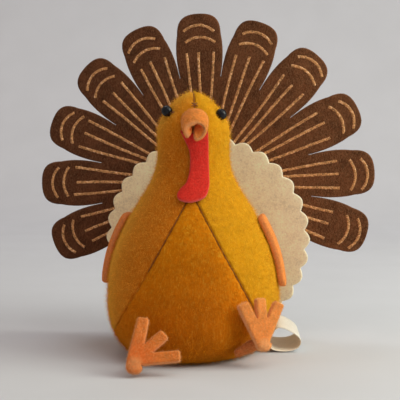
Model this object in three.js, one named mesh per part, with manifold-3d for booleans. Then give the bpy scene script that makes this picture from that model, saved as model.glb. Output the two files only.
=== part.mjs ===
// A felt turkey that sits on a shelf. Its pear-shaped body is sewn from felt panels and stuffed, with bead
// eyes, a folded beak, a wattle, two wings and two feet on short rolled legs. A scalloped disc and a die-cut
// tail fan are sewn to its back. Millimetres, +Z up, origin at the middle of the base, facing -Y.
import * as THREE from 'three';
import { mergeVertices } from 'three/addons/utils/BufferGeometryUtils.js';
import loadManifold from 'manifold-3d';

const wasm = await loadManifold();
wasm.setup();

// Felts and fits
const FIT = 0.3;
const SHEET_FIT = 0.42;
const SKIN_FELT = 2;
const TAIL_FELT = 2;
const WING_FELT = 3.4;
const BEAK_FELT = 3.2;
const WATTLE_FELT = 2;
const RIBBON = 0.7;

// Body outline, as radii and heights
const BASE_RADIUS = 27;
const BELLY_RADIUS = 42.4;
const BELLY_HEIGHT = 27;
const NECK_RADIUS = 17.9;
const NECK_HEIGHT = 97;
const HEAD_RADIUS = 18.6;
const HEAD_HEIGHT = 108;
const CROWN_HEIGHT = 128;
const BACK_FLAT = 37;
const PELLET_TOP = 14;
const BASE_TUCK = { out: 0.52, up: 0.055 };
const BELLY_UNDERSIDE = 0.45;
const BREAST_FULLNESS = 0.55;
const NECK_HOLLOW = 0.7;
const NAPE_LOW = 0.4;
const NAPE_HIGH = 0.6;
const BROW_FULLNESS = 0.35;
const CROWN_BLUNTNESS = 0.48;
const BELLY_FORWARD = 0.33;
const FORWARD_FOOT = -5;
const FORWARD_TOP = 45;

// Breast gusset, and the twist that turns the head
const GUSSET_APEX = 82;
const GUSSET_WIDTH = 56;
const HEAD_TURN = 11;

// Bead eyes and their thread
const EYE_DIAMETER = 4.8;
const EYE_HEIGHT = 116.7;
const EYE_SPREAD = 56;
const EYE_PROUD = 1;
const EYE_SLANT = 3.3;
const THREAD_DIAMETER = 1;

// Beak hood
const BEAK_HEIGHT = 113.4;
const BEAK_LENGTH = 8.5;
const BEAK_WIDTH = 13.4;
const BEAK_RISE = 12;
const BEAK_TAPER = 0.84;
const BEAK_DROOP = 4.4;
const BEAK_SLIT = 24;
const BEAK_SLIT_TURN = 20;

// Wattle strip
const WATTLE_LENGTH = 32;
const WATTLE_WIDTH = 8.8;
const WATTLE_LOBE = 13;
const WATTLE_LIFT = 40;
const LOBE_START = 0.55;
const LOBE_FULLEST = 0.84;
const LOBE_PINCH = 0.05;

// Tail fan and disc
const FAN_RADIUS = 89;
const FAN_CENTRE = 80.5;
const FAN_TURN = 2.45;
const FEATHERS = 11;
const FEATHER_PITCH = 22;
const FEATHER_WIDTH = 23.2;
const FEATHER_SHOULDER = 11;
const FEATHER_BULGE = 0.75;
const FEATHER_CREST = 0.7;
const SLIT_RADIUS = 56.5;
const HUB_RADIUS = 50;
const DISC_RADIUS = 54.2;
const DISC_CENTRE = 51.4;
const DISC_SHIFT = 1.5;
const DISC_TRIM = 1;
const SCALLOPS = 32;
const SCALLOP_DEPTH = 2.6;

// Wings
const WING_ANGLE = 96;
const WING_TOP = 66;
const WING_DROP = 34;
const WING_FRONT = 10;
const WING_REAR = 18;
const WING_FULLEST = 0.5;
const WING_FRONT_CURVE = 5;
const WING_REAR_CURVE = 2.2;
const WING_PINCH = 0.02;

// Legs and feet; each foot lies as its soft leg lets it
const LEG_RADIUS = 2.8;
const LEG_SEAM = 8;
const TOE_LENGTH = 19.8;
const TOE_WIDTH = 5.1;
const HEEL_LENGTH = 6.4;
const HEEL_WIDTH = 7.4;
const FOOT_FELT = 4;
const FOOT_HUB = 3.6;
const TOE_CORNER = 0.9;
const HEEL_CORNER = 3;
const POSTURES = {
  left: {
    spread: -23.3, splay: -3.6, rise: -7, reach: 14, facing: 8, lean: 28, roll: 47, fan: 38, heel: 143,
  },
  right: {
    spread: 42, splay: 98.4, rise: 27.4, reach: 10.8, facing: 28, lean: 16, roll: 2, fan: 28, heel: 178,
  },
};

// Sewn ribbon tag, left bare
const TAG_ANGLE = 99;
const TAG_WIDTH = 21;
const TAG_REACH = 52.5;
const TAG_LIFT = 12.5;
const TAG_SEAM = 4;
const TAG_TILT = 8;
const TAG_COURSE = [[0.3, 0.04], [0.65, 0], [0.92, 0.13], [1, 0.4], [0.86, 0.66], [0.55, 0.9]];
const TAG_RETURN = 0.93;
const TAG_TUCK = 0.3;

// Facets
const ROUND_STEPS = 36;
const BEAD_STEPS = 16;
const ROD_STEPS = 12;
const SCALLOP_STEPS = 6;
const BEAK_STEPS = [20, 6];
const WATTLE_STEPS = [8, 24];
const WING_STEPS = [10, 16];
const TAG_STEPS = [2, 40];
const WELD = 1e-4;
const FAR = 400;

const MUSTARD = { color: 0xc8861a, roughness: 0.95 };
const ORANGE = { color: 0xd07a34, roughness: 0.95 };
const RED = { color: 0xc02a22, roughness: 0.95 };
const BROWN = { color: 0x512c17, roughness: 0.95 };
const CREAM = { color: 0xd0b088, roughness: 0.95 };
const WHITE = { color: 0xf0ebe2, roughness: 0.8 };
const BLACK = { color: 0x0c0b0d, roughness: 0.08 };

const rad = THREE.MathUtils.degToRad;
const vec = (x, y, z) => new THREE.Vector3(x, y, z);
const flat = (x, y) => new THREE.Vector2(x, y);
const share = THREE.MathUtils.lerp;

// Unit vector at an angle round the figure, from straight ahead (-Y) towards its right in the view (+X)
const heading = (degrees, rise = 0) => vec(
  Math.sin(rad(degrees)) * Math.cos(rad(rise)),
  -Math.cos(rad(degrees)) * Math.cos(rad(rise)),
  Math.sin(rad(rise)),
);

// Closed solids from geometry, and back

function signedVolume(corners, triangles) {
  const [a, b, c] = [vec(), vec(), vec()];
  let total = 0;
  for (let i = 0; i < triangles.length; i += 3) {
    a.fromArray(corners, triangles[i] * 3);
    b.fromArray(corners, triangles[i + 1] * 3);
    c.fromArray(corners, triangles[i + 2] * 3);
    total += a.dot(b.cross(c)) / 6;
  }
  return total;
}

function solid(geometry) {
  const bare = geometry.clone();
  bare.deleteAttribute('normal');
  bare.deleteAttribute('uv');
  const merged = mergeVertices(bare, WELD);
  const corners = merged.getAttribute('position').array;
  const triangles = [];
  for (let i = 0; i < merged.index.count; i += 3) {
    const [a, b, c] = merged.index.array.slice(i, i + 3);
    if (a !== b && b !== c && c !== a) triangles.push(a, b, c);
  }
  if (signedVolume(corners, triangles) < 0) triangles.reverse();
  return new wasm.Manifold(new wasm.Mesh({
    numProp: 3,
    vertProperties: Float32Array.from(corners),
    triVerts: Uint32Array.from(triangles),
  }));
}

function geometryOf(body) {
  const { vertProperties, triVerts } = body.getMesh();
  const geometry = new THREE.BufferGeometry();
  geometry.setAttribute('position', new THREE.BufferAttribute(vertProperties, 3));
  geometry.setIndex(new THREE.BufferAttribute(triVerts, 1));
  geometry.computeVertexNormals();
  return geometry;
}

const figure = new THREE.Group();
const head = new THREE.Group();
head.rotation.z = rad(HEAD_TURN);
figure.add(head);

function addPiece(parent, name, body, finish) {
  const mesh = new THREE.Mesh(geometryOf(body), new THREE.MeshStandardMaterial(finish));
  mesh.name = name;
  parent.add(mesh);
  return mesh;
}

// A block between two corners, for cutting
function block(low, high) {
  const size = high.clone().sub(low);
  const box = new THREE.BoxGeometry(size.x, size.y, size.z);
  return solid(box.translate(...low.clone().addScaledVector(size, 0.5)));
}

// A sheet of felt of even thickness, about a surface given over the unit square
function feltSheet(surface, across, along, thickness) {
  const step = 1e-3;
  const corners = [];
  const index = [];
  const columns = across + 1;
  const layer = columns * (along + 1);
  for (const side of [0.5, -0.5]) {
    for (let j = 0; j <= along; j += 1) {
      for (let i = 0; i <= across; i += 1) {
        const [u, v] = [i / across, j / along];
        const towardU = surface(u + step, v).sub(surface(u - step, v));
        const towardV = surface(u, v + step).sub(surface(u, v - step));
        const normal = towardU.cross(towardV).normalize();
        corners.push(...surface(u, v).addScaledVector(normal, side * thickness));
      }
    }
  }
  const quad = (a, b, c, d) => index.push(a, b, c, a, c, d);
  for (let j = 0; j < along; j += 1) {
    for (let i = 0; i < across; i += 1) {
      const a = j * columns + i;
      quad(a, a + 1, a + 1 + columns, a + columns);
      quad(a + layer, a + columns + layer, a + 1 + columns + layer, a + 1 + layer);
    }
  }
  const wall = (a, b) => quad(b, a, a + layer, b + layer);
  for (let i = 0; i < across; i += 1) {
    wall(i, i + 1);
    wall(along * columns + i + 1, along * columns + i);
  }
  for (let j = 0; j < along; j += 1) {
    wall((j + 1) * columns, j * columns);
    wall(j * columns + across, (j + 1) * columns + across);
  }
  const geometry = new THREE.BufferGeometry();
  geometry.setAttribute('position', new THREE.Float32BufferAttribute(corners, 3));
  geometry.setIndex(index);
  return solid(geometry);
}

// A flat felt cut-out standing on a frame of three axes
function cutOut(shape, thickness, [right, up, outward], corner, curveSegments = 8) {
  const plate = new THREE.ExtrudeGeometry(shape, { depth: thickness, bevelEnabled: false, curveSegments });
  plate.applyMatrix4(new THREE.Matrix4().makeBasis(right, up, outward).setPosition(corner));
  return solid(plate);
}

// Body outline: base to belly, belly to neck, neck to head, head to crown

const outline = (() => {
  const belly = flat(BELLY_RADIUS, BELLY_HEIGHT);
  const neck = flat(NECK_RADIUS, NECK_HEIGHT);
  const brow = flat(HEAD_RADIUS, HEAD_HEIGHT);
  const stretches = [
    [6, flat(BASE_RADIUS, 0),
      flat(share(BASE_RADIUS, BELLY_RADIUS, BASE_TUCK.out), BELLY_HEIGHT * BASE_TUCK.up),
      flat(BELLY_RADIUS, BELLY_HEIGHT * BELLY_UNDERSIDE), belly],
    [9, belly, flat(BELLY_RADIUS, share(BELLY_HEIGHT, NECK_HEIGHT, BREAST_FULLNESS)),
      flat(NECK_RADIUS, share(BELLY_HEIGHT, NECK_HEIGHT, NECK_HOLLOW)), neck],
    [3, neck, flat(NECK_RADIUS, share(NECK_HEIGHT, HEAD_HEIGHT, NAPE_LOW)),
      flat(HEAD_RADIUS, share(NECK_HEIGHT, HEAD_HEIGHT, NAPE_HIGH)), brow],
    [6, brow, flat(HEAD_RADIUS, share(HEAD_HEIGHT, CROWN_HEIGHT, BROW_FULLNESS)),
      flat(HEAD_RADIUS * CROWN_BLUNTNESS, CROWN_HEIGHT), flat(0, CROWN_HEIGHT)],
  ];
  return stretches.flatMap(([steps, ...controls], which) => {
    const curve = new THREE.CubicBezierCurve(...controls);
    const first = which === 0 ? 0 : 1;
    return Array.from({ length: steps + 1 - first }, (_, i) => {
      const at = (i + first) / steps;
      const along = curve.getTangent(at);
      return { place: curve.getPoint(at), normal: flat(along.y, -along.x) };
    });
  });
})();

// The outline's radius and outward normal at a height
function skinAt(height) {
  const above = Math.max(1, outline.findIndex(({ place }) => place.y >= height));
  const [low, high] = [outline[above - 1], outline[above]];
  const at = (height - low.place.y) / (high.place.y - low.place.y);
  const normal = low.normal.clone().lerp(high.normal, at).normalize();
  return { radius: share(low.place.x, high.place.x, at), normal };
}

// How far the stuffing slumps the belly forwards at a height, as a share of its depth in front of the axis
function slump(height) {
  return 1 + BELLY_FORWARD * (1 - THREE.MathUtils.smoothstep(height, FORWARD_FOOT, FORWARD_TOP));
}

// A place outside the slumped skin, from an angle round the body and a height on its outline
function outsideSkin(degrees, height, away) {
  const spot = (angle, level) => {
    const place = heading(angle).multiplyScalar(skinAt(level).radius).setZ(level);
    return place.y < 0 ? place.setY(place.y * slump(level)) : place;
  };
  const round = spot(degrees + 1, height).sub(spot(degrees - 1, height));
  const upward = spot(degrees, height + 1).sub(spot(degrees, height - 1));
  return spot(degrees, height).addScaledVector(round.cross(upward).normalize(), away);
}

// The body's volume, grown or shrunk by an offset, with the belly slumped and the back pressed flat
function bodyVolume(offset) {
  const rim = outline.map(({ place, normal }) => place.clone().addScaledVector(normal, offset));
  const profile = [flat(0, rim[0].y), ...rim];
  profile[profile.length - 1].x = 0;
  const lathe = new THREE.LatheGeometry(profile, ROUND_STEPS).rotateX(Math.PI / 2);
  const corners = lathe.getAttribute('position');
  for (let i = 0; i < corners.count; i += 1) {
    if (corners.getY(i) < 0) corners.setY(i, corners.getY(i) * slump(corners.getZ(i)));
  }
  return solid(lathe).subtract(block(vec(-FAR, BACK_FLAT + offset, -FAR), vec(FAR, FAR, FAR)));
}

const outside = bodyVolume(0);
const lining = bodyVolume(-SKIN_FELT);
const filling = bodyVolume(-SKIN_FELT - FIT);
const surround = bodyVolume(FIT);
const seamClearance = FIT / 2;

// The triangle in front that the breast gusset covers, larger or smaller by an offset on its seams
function gussetPrism(offset) {
  const slope = Math.atan(GUSSET_WIDTH / 2 / (GUSSET_APEX - BELLY_HEIGHT));
  const apex = GUSSET_APEX + offset / Math.sin(slope);
  const half = apex * Math.tan(slope);
  const shape = new THREE.Shape([flat(-half, 0), flat(half, 0), flat(0, apex)]);
  const depth = 2 * BELLY_RADIUS * (1 + BELLY_FORWARD);
  return cutOut(shape, depth, [vec(1, 0, 0), vec(0, 0, 1), vec(0, -1, 0)], vec(0, offset, 0));
}

// The head is turned by a twist of the neck, which leaves a round body's shape as it is
function twisted(body) {
  const geometry = geometryOf(body);
  const corners = geometry.getAttribute('position');
  const upright = new THREE.Vector3(0, 0, 1);
  for (let i = 0; i < corners.count; i += 1) {
    const corner = vec().fromBufferAttribute(corners, i);
    const turn = HEAD_TURN * THREE.MathUtils.smoothstep(corner.z, GUSSET_APEX, HEAD_HEIGHT);
    corner.applyAxisAngle(upright, rad(turn));
    corners.setXYZ(i, corner.x, corner.y, corner.z);
  }
  return solid(geometry);
}

// Bead eyes, the thread between them, and the dimples and holes they sit in

const eyeRadius = EYE_DIAMETER / 2;
const eyePlaces = [-1, 1].map((side) => heading(side * EYE_SPREAD)
  .multiplyScalar(skinAt(EYE_HEIGHT).radius + EYE_PROUD).setZ(EYE_HEIGHT));

function bead(place, radius) {
  const ball = new THREE.SphereGeometry(radius, BEAD_STEPS, BEAD_STEPS / 2).rotateX(Math.PI / 2);
  return solid(ball.translate(...place));
}

function threadAlong(radius, length) {
  const rod = new THREE.CylinderGeometry(radius, radius, length, ROD_STEPS).rotateZ(Math.PI / 2);
  return solid(rod.translate(0, eyePlaces[0].y, EYE_HEIGHT));
}

// Both eyes and their thread lie a little aslant across the head
function aslant(body) {
  return body.translate(0, 0, -EYE_HEIGHT).rotate(0, EYE_SLANT, 0).translate(0, 0, EYE_HEIGHT);
}

const threadLength = 2 * (eyePlaces[1].x - eyeRadius - FIT);
const threadHole = threadAlong(THREAD_DIAMETER / 2 + FIT, 2 * eyePlaces[1].x);
const eyeHoles = eyePlaces.reduce((cut, place) => cut.add(bead(place, eyeRadius + FIT)), threadHole);
const eyeSockets = aslant(eyeHoles);

function addBody() {
  const belowSides = block(vec(-FAR, -FAR, -FAR), vec(FAR, FAR, SKIN_FELT + FIT));
  const belowBase = block(vec(-FAR, -FAR, -FAR), vec(FAR, FAR, SKIN_FELT));
  addPiece(figure, 'base_panel', outside.intersect(belowBase), MUSTARD);

  const skin = outside.subtract(lining).subtract(belowSides).subtract(eyeSockets);
  addPiece(figure, 'breast_gusset', skin.intersect(gussetPrism(-seamClearance)), MUSTARD);
  const sides = skin.subtract(gussetPrism(seamClearance));
  const leftHalf = block(vec(-FAR, -FAR, -FAR), vec(-seamClearance, FAR, FAR));
  const rightHalf = block(vec(seamClearance, -FAR, -FAR), vec(FAR, FAR, FAR));
  addPiece(figure, 'left_body_panel', twisted(sides.intersect(leftHalf)), MUSTARD);
  addPiece(figure, 'right_body_panel', twisted(sides.intersect(rightHalf)), MUSTARD);

  const belowFill = block(vec(-FAR, -FAR, -FAR), vec(FAR, FAR, PELLET_TOP + FIT));
  const abovePellets = block(vec(-FAR, -FAR, PELLET_TOP), vec(FAR, FAR, FAR));
  addPiece(figure, 'pellet_bag', filling.subtract(abovePellets), WHITE);
  addPiece(figure, 'body_stuffing', twisted(filling.subtract(belowFill).subtract(eyeSockets)), WHITE);
}

function addEyes() {
  addPiece(head, 'left_eye', aslant(bead(eyePlaces[0], eyeRadius)), BLACK);
  addPiece(head, 'right_eye', aslant(bead(eyePlaces[1], eyeRadius)), BLACK);
  addPiece(head, 'eye_thread', aslant(threadAlong(THREAD_DIAMETER / 2, threadLength)), WHITE);
}

// Beak: felt wrapped into a hood that narrows and droops to the front, with its slit below

const beakRoot = skinAt(BEAK_HEIGHT).radius - BEAK_FELT;
const beakTip = skinAt(BEAK_HEIGHT).radius + BEAK_LENGTH;
const beakMiddle = (v) => BEAK_HEIGHT - BEAK_DROOP * v * v;

function addBeak() {
  const wrap = (360 - BEAK_SLIT) / 2;
  const [halfWidth, halfRise] = [(BEAK_WIDTH - BEAK_FELT) / 2, (BEAK_RISE - BEAK_FELT) / 2];
  const hood = (u, v) => {
    const angle = rad(90 - BEAK_SLIT_TURN + share(-wrap, wrap, u));
    const taper = share(1, BEAK_TAPER, v);
    return vec(
      halfWidth * taper * Math.cos(angle),
      -share(beakRoot, beakTip, v),
      beakMiddle(v) + halfRise * taper * Math.sin(angle),
    );
  };
  addPiece(head, 'beak', feltSheet(hood, ...BEAK_STEPS, BEAK_FELT).subtract(surround), ORANGE);
}

// Wattle: a strip that hangs on the breast and swells to a lobe bent to one side

function addWattle() {
  const clear = SHEET_FIT + WATTLE_FELT / 2;
  const beneath = (skinAt(BEAK_HEIGHT).radius + 2 * clear - beakRoot) / (beakTip - beakRoot);
  const top = beakMiddle(beneath) - BEAK_RISE / 2 - FIT - WATTLE_FELT * Math.sin(rad(WATTLE_LIFT));
  const strip = (u, v) => {
    const down = v * WATTLE_LENGTH;
    const { radius, normal } = skinAt(top - down);
    const lobe = THREE.MathUtils.smoothstep(v, LOBE_START, LOBE_FULLEST);
    const past = Math.max((v - LOBE_FULLEST) / (1 - LOBE_FULLEST), 0);
    const round = Math.sqrt(Math.max(1 - past * past, LOBE_PINCH));
    const width = share(WATTLE_WIDTH, WATTLE_LOBE, lobe) * round;
    const middle = (WATTLE_WIDTH - WATTLE_LOBE) / 2 * lobe;
    const out = heading(THREE.MathUtils.radToDeg((middle + (u - 0.5) * width) / radius));
    return out.multiplyScalar(radius + clear * normal.x).setZ(top - down + clear * normal.y);
  };
  const piece = addPiece(head, 'wattle', feltSheet(strip, ...WATTLE_STEPS, WATTLE_FELT), RED);
  const root = vec(0, -skinAt(top).radius - FIT, top);
  piece.userData.hinge = { place: root, axis: vec(-1, 0, 0) };
}

// Tail fan: feathers round a hub, cut apart down to the slit radius

function addTailFan(front) {
  const shape = new THREE.Shape();
  const halfPitch = rad(FEATHER_PITCH / 2);
  const [rootOut, rootSide] = [SLIT_RADIUS * Math.cos(halfPitch), SLIT_RADIUS * Math.sin(halfPitch)];
  const side = FEATHER_WIDTH / 2;
  const shoulder = FAN_RADIUS - FEATHER_SHOULDER;
  const bearing = (feather) => rad(90 + FAN_TURN + (feather - (FEATHERS - 1) / 2) * FEATHER_PITCH);
  for (let feather = 0; feather < FEATHERS; feather += 1) {
    const turn = bearing(feather);
    const at = (out, across) => [
      out * Math.cos(turn) - across * Math.sin(turn),
      out * Math.sin(turn) + across * Math.cos(turn),
    ];
    const [bulge, crest] = [share(shoulder, FAN_RADIUS, FEATHER_BULGE), side * FEATHER_CREST];
    if (feather === 0) shape.moveTo(...at(rootOut, -rootSide));
    shape.lineTo(...at(shoulder, -side));
    shape.bezierCurveTo(...at(bulge, -side), ...at(FAN_RADIUS, -crest), ...at(FAN_RADIUS, 0));
    shape.bezierCurveTo(...at(FAN_RADIUS, crest), ...at(bulge, side), ...at(shoulder, side));
    shape.lineTo(...at(rootOut, rootSide));
  }
  const [last, first] = [bearing(FEATHERS - 1) + halfPitch, bearing(0) - halfPitch + 2 * Math.PI];
  shape.absarc(0, 0, HUB_RADIUS, last, first, false);
  const axes = [vec(1, 0, 0), vec(0, 0, 1), vec(0, -1, 0)];
  const fan = cutOut(shape, TAIL_FELT, axes, vec(0, front + TAIL_FELT, FAN_CENTRE), 6);
  addPiece(figure, 'tail_fan', fan, BROWN);
}

// Tail disc: a scalloped round, trimmed straight where it meets the shelf

function addTailDisc(front) {
  const steps = SCALLOPS * SCALLOP_STEPS;
  const edge = Array.from({ length: steps }, (_, i) => {
    const angle = 2 * Math.PI * i / steps;
    const wave = Math.abs(Math.cos(angle * SCALLOPS / 2));
    const radius = DISC_RADIUS - SCALLOP_DEPTH * (1 - wave);
    return flat(radius * Math.cos(angle), radius * Math.sin(angle));
  });
  const axes = [vec(1, 0, 0), vec(0, 0, 1), vec(0, -1, 0)];
  const place = vec(DISC_SHIFT, front + TAIL_FELT, DISC_CENTRE);
  const round = cutOut(new THREE.Shape(edge), TAIL_FELT, axes, place);
  const shelf = block(vec(-FAR, -FAR, -FAR), vec(FAR, FAR, DISC_TRIM));
  addPiece(figure, 'tail_disc', round.subtract(shelf), CREAM);
}

// Wings: rounded felt leaves that lie on the body's sides, hinged along the sewn shoulder

function addWing(name, side) {
  const clear = SHEET_FIT + WING_FELT / 2;
  const edge = (v, width, curve) => {
    const away = v < WING_FULLEST ? 1 - v / WING_FULLEST : (v - WING_FULLEST) / (1 - WING_FULLEST);
    return width * Math.max(1 - away ** curve, WING_PINCH) ** (1 / curve);
  };
  const leaf = (u, v) => {
    const height = WING_TOP - v * WING_DROP;
    const { radius, normal } = skinAt(height);
    const front = -edge(v, WING_FRONT, WING_FRONT_CURVE);
    const rear = edge(v, WING_REAR, WING_REAR_CURVE);
    const round = THREE.MathUtils.radToDeg(share(front, rear, u) / radius);
    const out = heading(side * (WING_ANGLE + round));
    return out.multiplyScalar(radius + clear * normal.x).setZ(height + clear * normal.y);
  };
  const piece = addPiece(figure, name, feltSheet(leaf, ...WING_STEPS, WING_FELT), ORANGE);
  const shoulder = heading(side * WING_ANGLE).multiplyScalar(skinAt(WING_TOP).radius + FIT).setZ(WING_TOP);
  piece.userData.hinge = { place: shoulder, axis: heading(side * (WING_ANGLE + 90)).multiplyScalar(-side) };
}

// Legs and feet: a rolled leg from the base seam, and a flat foot sewn across its end

function roundedStrip(length, width, corner) {
  const half = width / 2;
  const shape = new THREE.Shape();
  shape.moveTo(-half, 0);
  shape.lineTo(half, 0);
  shape.lineTo(half, length - corner);
  shape.absarc(half - corner, length - corner, corner, 0, Math.PI / 2, false);
  shape.absarc(corner - half, length - corner, corner, Math.PI / 2, Math.PI, false);
  return shape;
}

function addLegAndFoot(name, { spread, splay, rise, reach, facing, lean, roll, fan, heel }) {
  const away = LEG_RADIUS + FIT;
  const root = outsideSkin(spread, LEG_SEAM, away);
  const along = heading(splay, rise);
  const ankle = root.clone().addScaledVector(along, reach);

  const rolled = new THREE.CapsuleGeometry(LEG_RADIUS, reach, ROD_STEPS / 3, ROD_STEPS);
  rolled.applyQuaternion(new THREE.Quaternion().setFromUnitVectors(vec(0, 1, 0), along));
  rolled.translate(...root.clone().lerp(ankle, 0.5));
  const leg = addPiece(figure, `${name}_leg`, solid(rolled), ORANGE);
  leg.userData.hinge = { place: root, axis: vec(0, 0, 1) };

  const outward = heading(facing, lean);
  const up = heading(facing, lean + 90);
  const right = up.clone().cross(outward);
  const sole = ankle.clone().addScaledVector(outward, away);
  const strip = (angle, length, width, corner) => {
    const [c, s] = [Math.cos(rad(roll + angle)), Math.sin(rad(roll + angle))];
    const toeUp = up.clone().multiplyScalar(c).addScaledVector(right, s);
    const toeRight = right.clone().multiplyScalar(c).addScaledVector(up, -s);
    return cutOut(roundedStrip(length, width, corner), FOOT_FELT, [toeRight, toeUp, outward], sole, 3);
  };
  const hubShape = new THREE.Shape().absarc(0, 0, FOOT_HUB, 0, 2 * Math.PI);
  let foot = cutOut(hubShape, FOOT_FELT, [right, up, outward], sole);
  for (const toe of [-fan, 0, fan]) foot = foot.add(strip(toe, TOE_LENGTH, TOE_WIDTH, TOE_CORNER));
  foot = foot.add(strip(heel, HEEL_LENGTH, HEEL_WIDTH, HEEL_CORNER));
  const piece = addPiece(figure, `${name}_foot`, foot, ORANGE);
  piece.userData.hinge = { place: ankle, axis: right };
}

// Sewn tag: a ribbon looped out of the base seam, resting on the shelf

function addTag() {
  const half = RIBBON / 2;
  const seam = skinAt(TAG_SEAM).radius;
  const beside = (height) => flat(skinAt(height).radius + FIT + RIBBON, height);
  const route = new THREE.SplineCurve([
    beside(TAG_SEAM),
    ...TAG_COURSE.map(([reach, lift]) => flat(share(seam, TAG_REACH, reach), half + FIT + TAG_LIFT * lift)),
    beside(TAG_LIFT * TAG_RETURN),
    beside(share(TAG_SEAM, TAG_LIFT, TAG_TUCK)),
  ]);
  const out = heading(TAG_ANGLE);
  const rear = heading(TAG_ANGLE + 90);
  const ribbon = (u, v) => {
    const spot = route.getPoint(THREE.MathUtils.clamp(v, 0, 1));
    const place = out.clone().multiplyScalar(spot.x).addScaledVector(rear, (u - 0.5) * TAG_WIDTH);
    return place.setZ(spot.y + u * TAG_WIDTH * Math.sin(rad(TAG_TILT)));
  };
  addPiece(figure, 'sewn_tag', feltSheet(ribbon, ...TAG_STEPS, RIBBON).subtract(surround), WHITE);
}

addBody();
addEyes();
addBeak();
addWattle();
addTailDisc(BACK_FLAT + FIT);
addTailFan(BACK_FLAT + FIT + TAIL_FELT + FIT);
addWing('left_wing', -1);
addWing('right_wing', 1);
addLegAndFoot('left', POSTURES.left);
addLegAndFoot('right', POSTURES.right);
addTag();

export default figure;
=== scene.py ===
"""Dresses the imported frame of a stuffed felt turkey: sewn body, tail fan, scalloped disc and loose limbs."""

import logging
import math
from dataclasses import dataclass, field
from enum import Enum
from typing import Any, Callable, Iterable

import bmesh
import bpy
import numpy as np
from mathutils import Euler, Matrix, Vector, noise
from mathutils.geometry import delaunay_2d_cdt


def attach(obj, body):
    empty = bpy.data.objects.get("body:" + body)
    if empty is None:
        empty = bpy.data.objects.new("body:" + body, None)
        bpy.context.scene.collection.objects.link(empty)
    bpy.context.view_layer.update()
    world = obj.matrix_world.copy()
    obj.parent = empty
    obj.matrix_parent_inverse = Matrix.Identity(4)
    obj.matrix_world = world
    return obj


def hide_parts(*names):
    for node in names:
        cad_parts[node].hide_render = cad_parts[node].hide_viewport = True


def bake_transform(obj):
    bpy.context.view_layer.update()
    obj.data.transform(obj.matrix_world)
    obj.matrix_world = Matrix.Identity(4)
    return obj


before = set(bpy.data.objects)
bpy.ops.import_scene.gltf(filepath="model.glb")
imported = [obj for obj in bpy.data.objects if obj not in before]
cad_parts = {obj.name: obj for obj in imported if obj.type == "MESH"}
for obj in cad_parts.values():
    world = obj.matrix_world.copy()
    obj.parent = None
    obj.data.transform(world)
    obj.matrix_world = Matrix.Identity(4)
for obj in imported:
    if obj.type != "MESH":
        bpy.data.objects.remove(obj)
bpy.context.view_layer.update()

logging.basicConfig(level=logging.INFO, format="%(message)s")
LOG = logging.getLogger("turkey")

MM = 0.001
FIGURE = "turkey"

Array = np.ndarray
Colour = tuple[float, float, float]
Placing = Callable[[Array, Array, Array], Array]

PLAIN: Colour = (1.0, 1.0, 1.0)


class Side(Enum):
    """The side of the figure as the viewer sees it, with its sign along X."""

    LEFT = -1
    RIGHT = 1

    @property
    def label(self) -> str:
        """The side's word as the frame's node names use it."""
        return self.name.lower()


def smoothstep(value: Array | float, low: float, high: float) -> Array:
    """Goes smoothly from 0 at low to 1 at high."""
    share = np.clip((np.asarray(value, float) - low) / (high - low), 0.0, 1.0)
    return share * share * (3.0 - 2.0 * share)


def heading(degrees: Array | float, rise: float = 0.0) -> Array:
    """Unit vector at an angle round the figure, from straight ahead (-Y) towards +X.

    Args:
        degrees: Angle round the figure.
        rise: Angle above the floor.

    Returns:
        One vector, or one for each angle.
    """
    angle = np.radians(np.asarray(degrees, float))
    lift = math.radians(rise)
    flat = math.cos(lift)
    up = np.full_like(angle, math.sin(lift))
    return np.stack([np.sin(angle) * flat, -np.cos(angle) * flat, up], axis=-1)


def soft_noise(points: Array, wavelength: float, seed: float) -> Array:
    """Smooth noise at points."""
    shift = Vector((seed * 7.3, seed * 3.1, seed * 5.7))
    return np.array([noise.noise(Vector(point / wavelength) + shift) for point in points])


def spline(p0: Array, p1: Array, p2: Array, p3: Array, at: Array) -> Array:
    """Points between p1 and p2 on a smooth curve through four points."""
    bend = 2 * p0 - 5 * p1 + 4 * p2 - p3 + at * (3 * (p1 - p2) + p3 - p0)
    return p1 + 0.5 * at * (p2 - p0 + at * bend)


def turned(x: Any, y: Any, degrees: float) -> tuple[Any, Any]:
    """Places turned about the figure's upright axis."""
    cosine, sine = math.cos(math.radians(degrees)), math.sin(math.radians(degrees))
    return x * cosine - y * sine, x * sine + y * cosine


def smooth_loop(corners: Iterable[tuple[float, float]], steps: int) -> Array:
    """Closed smooth curve through corners.

    Args:
        corners: Points in order round the loop.
        steps: Points made for each corner.

    Returns:
        The loop's points.
    """
    points = np.array(list(corners), float)
    before, after, beyond = (np.roll(points, shift, axis=0) for shift in (1, -1, -2))
    at = np.linspace(0.0, 1.0, steps, endpoint=False)[None, :, None]
    stretches = (part[:, None, :] for part in (before, points, after, beyond))
    return spline(*stretches, at).reshape(-1, 2)


def even_loop(loop: Array, spacing: float) -> Array:
    """Places points evenly along a closed outline.

    Args:
        loop: Corners of the outline.
        spacing: Distance between the new points.

    Returns:
        The outline with even spacing.
    """
    closed = np.vstack([loop, loop[:1]])
    lengths = np.linalg.norm(np.diff(closed, axis=0), axis=1)
    along = np.concatenate([[0.0], np.cumsum(lengths)])
    count = max(8, int(along[-1] / spacing))
    stops = np.linspace(0.0, along[-1], count, endpoint=False)
    return np.stack([np.interp(stops, along, closed[:, axis]) for axis in (0, 1)], axis=1)


def loop_area(loop: Array) -> float:
    """Signed area inside a closed outline, positive where it runs anticlockwise."""
    after = np.roll(loop, -1, axis=0)
    return 0.5 * float(np.sum(loop[:, 0] * after[:, 1] - after[:, 0] * loop[:, 1]))


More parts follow.
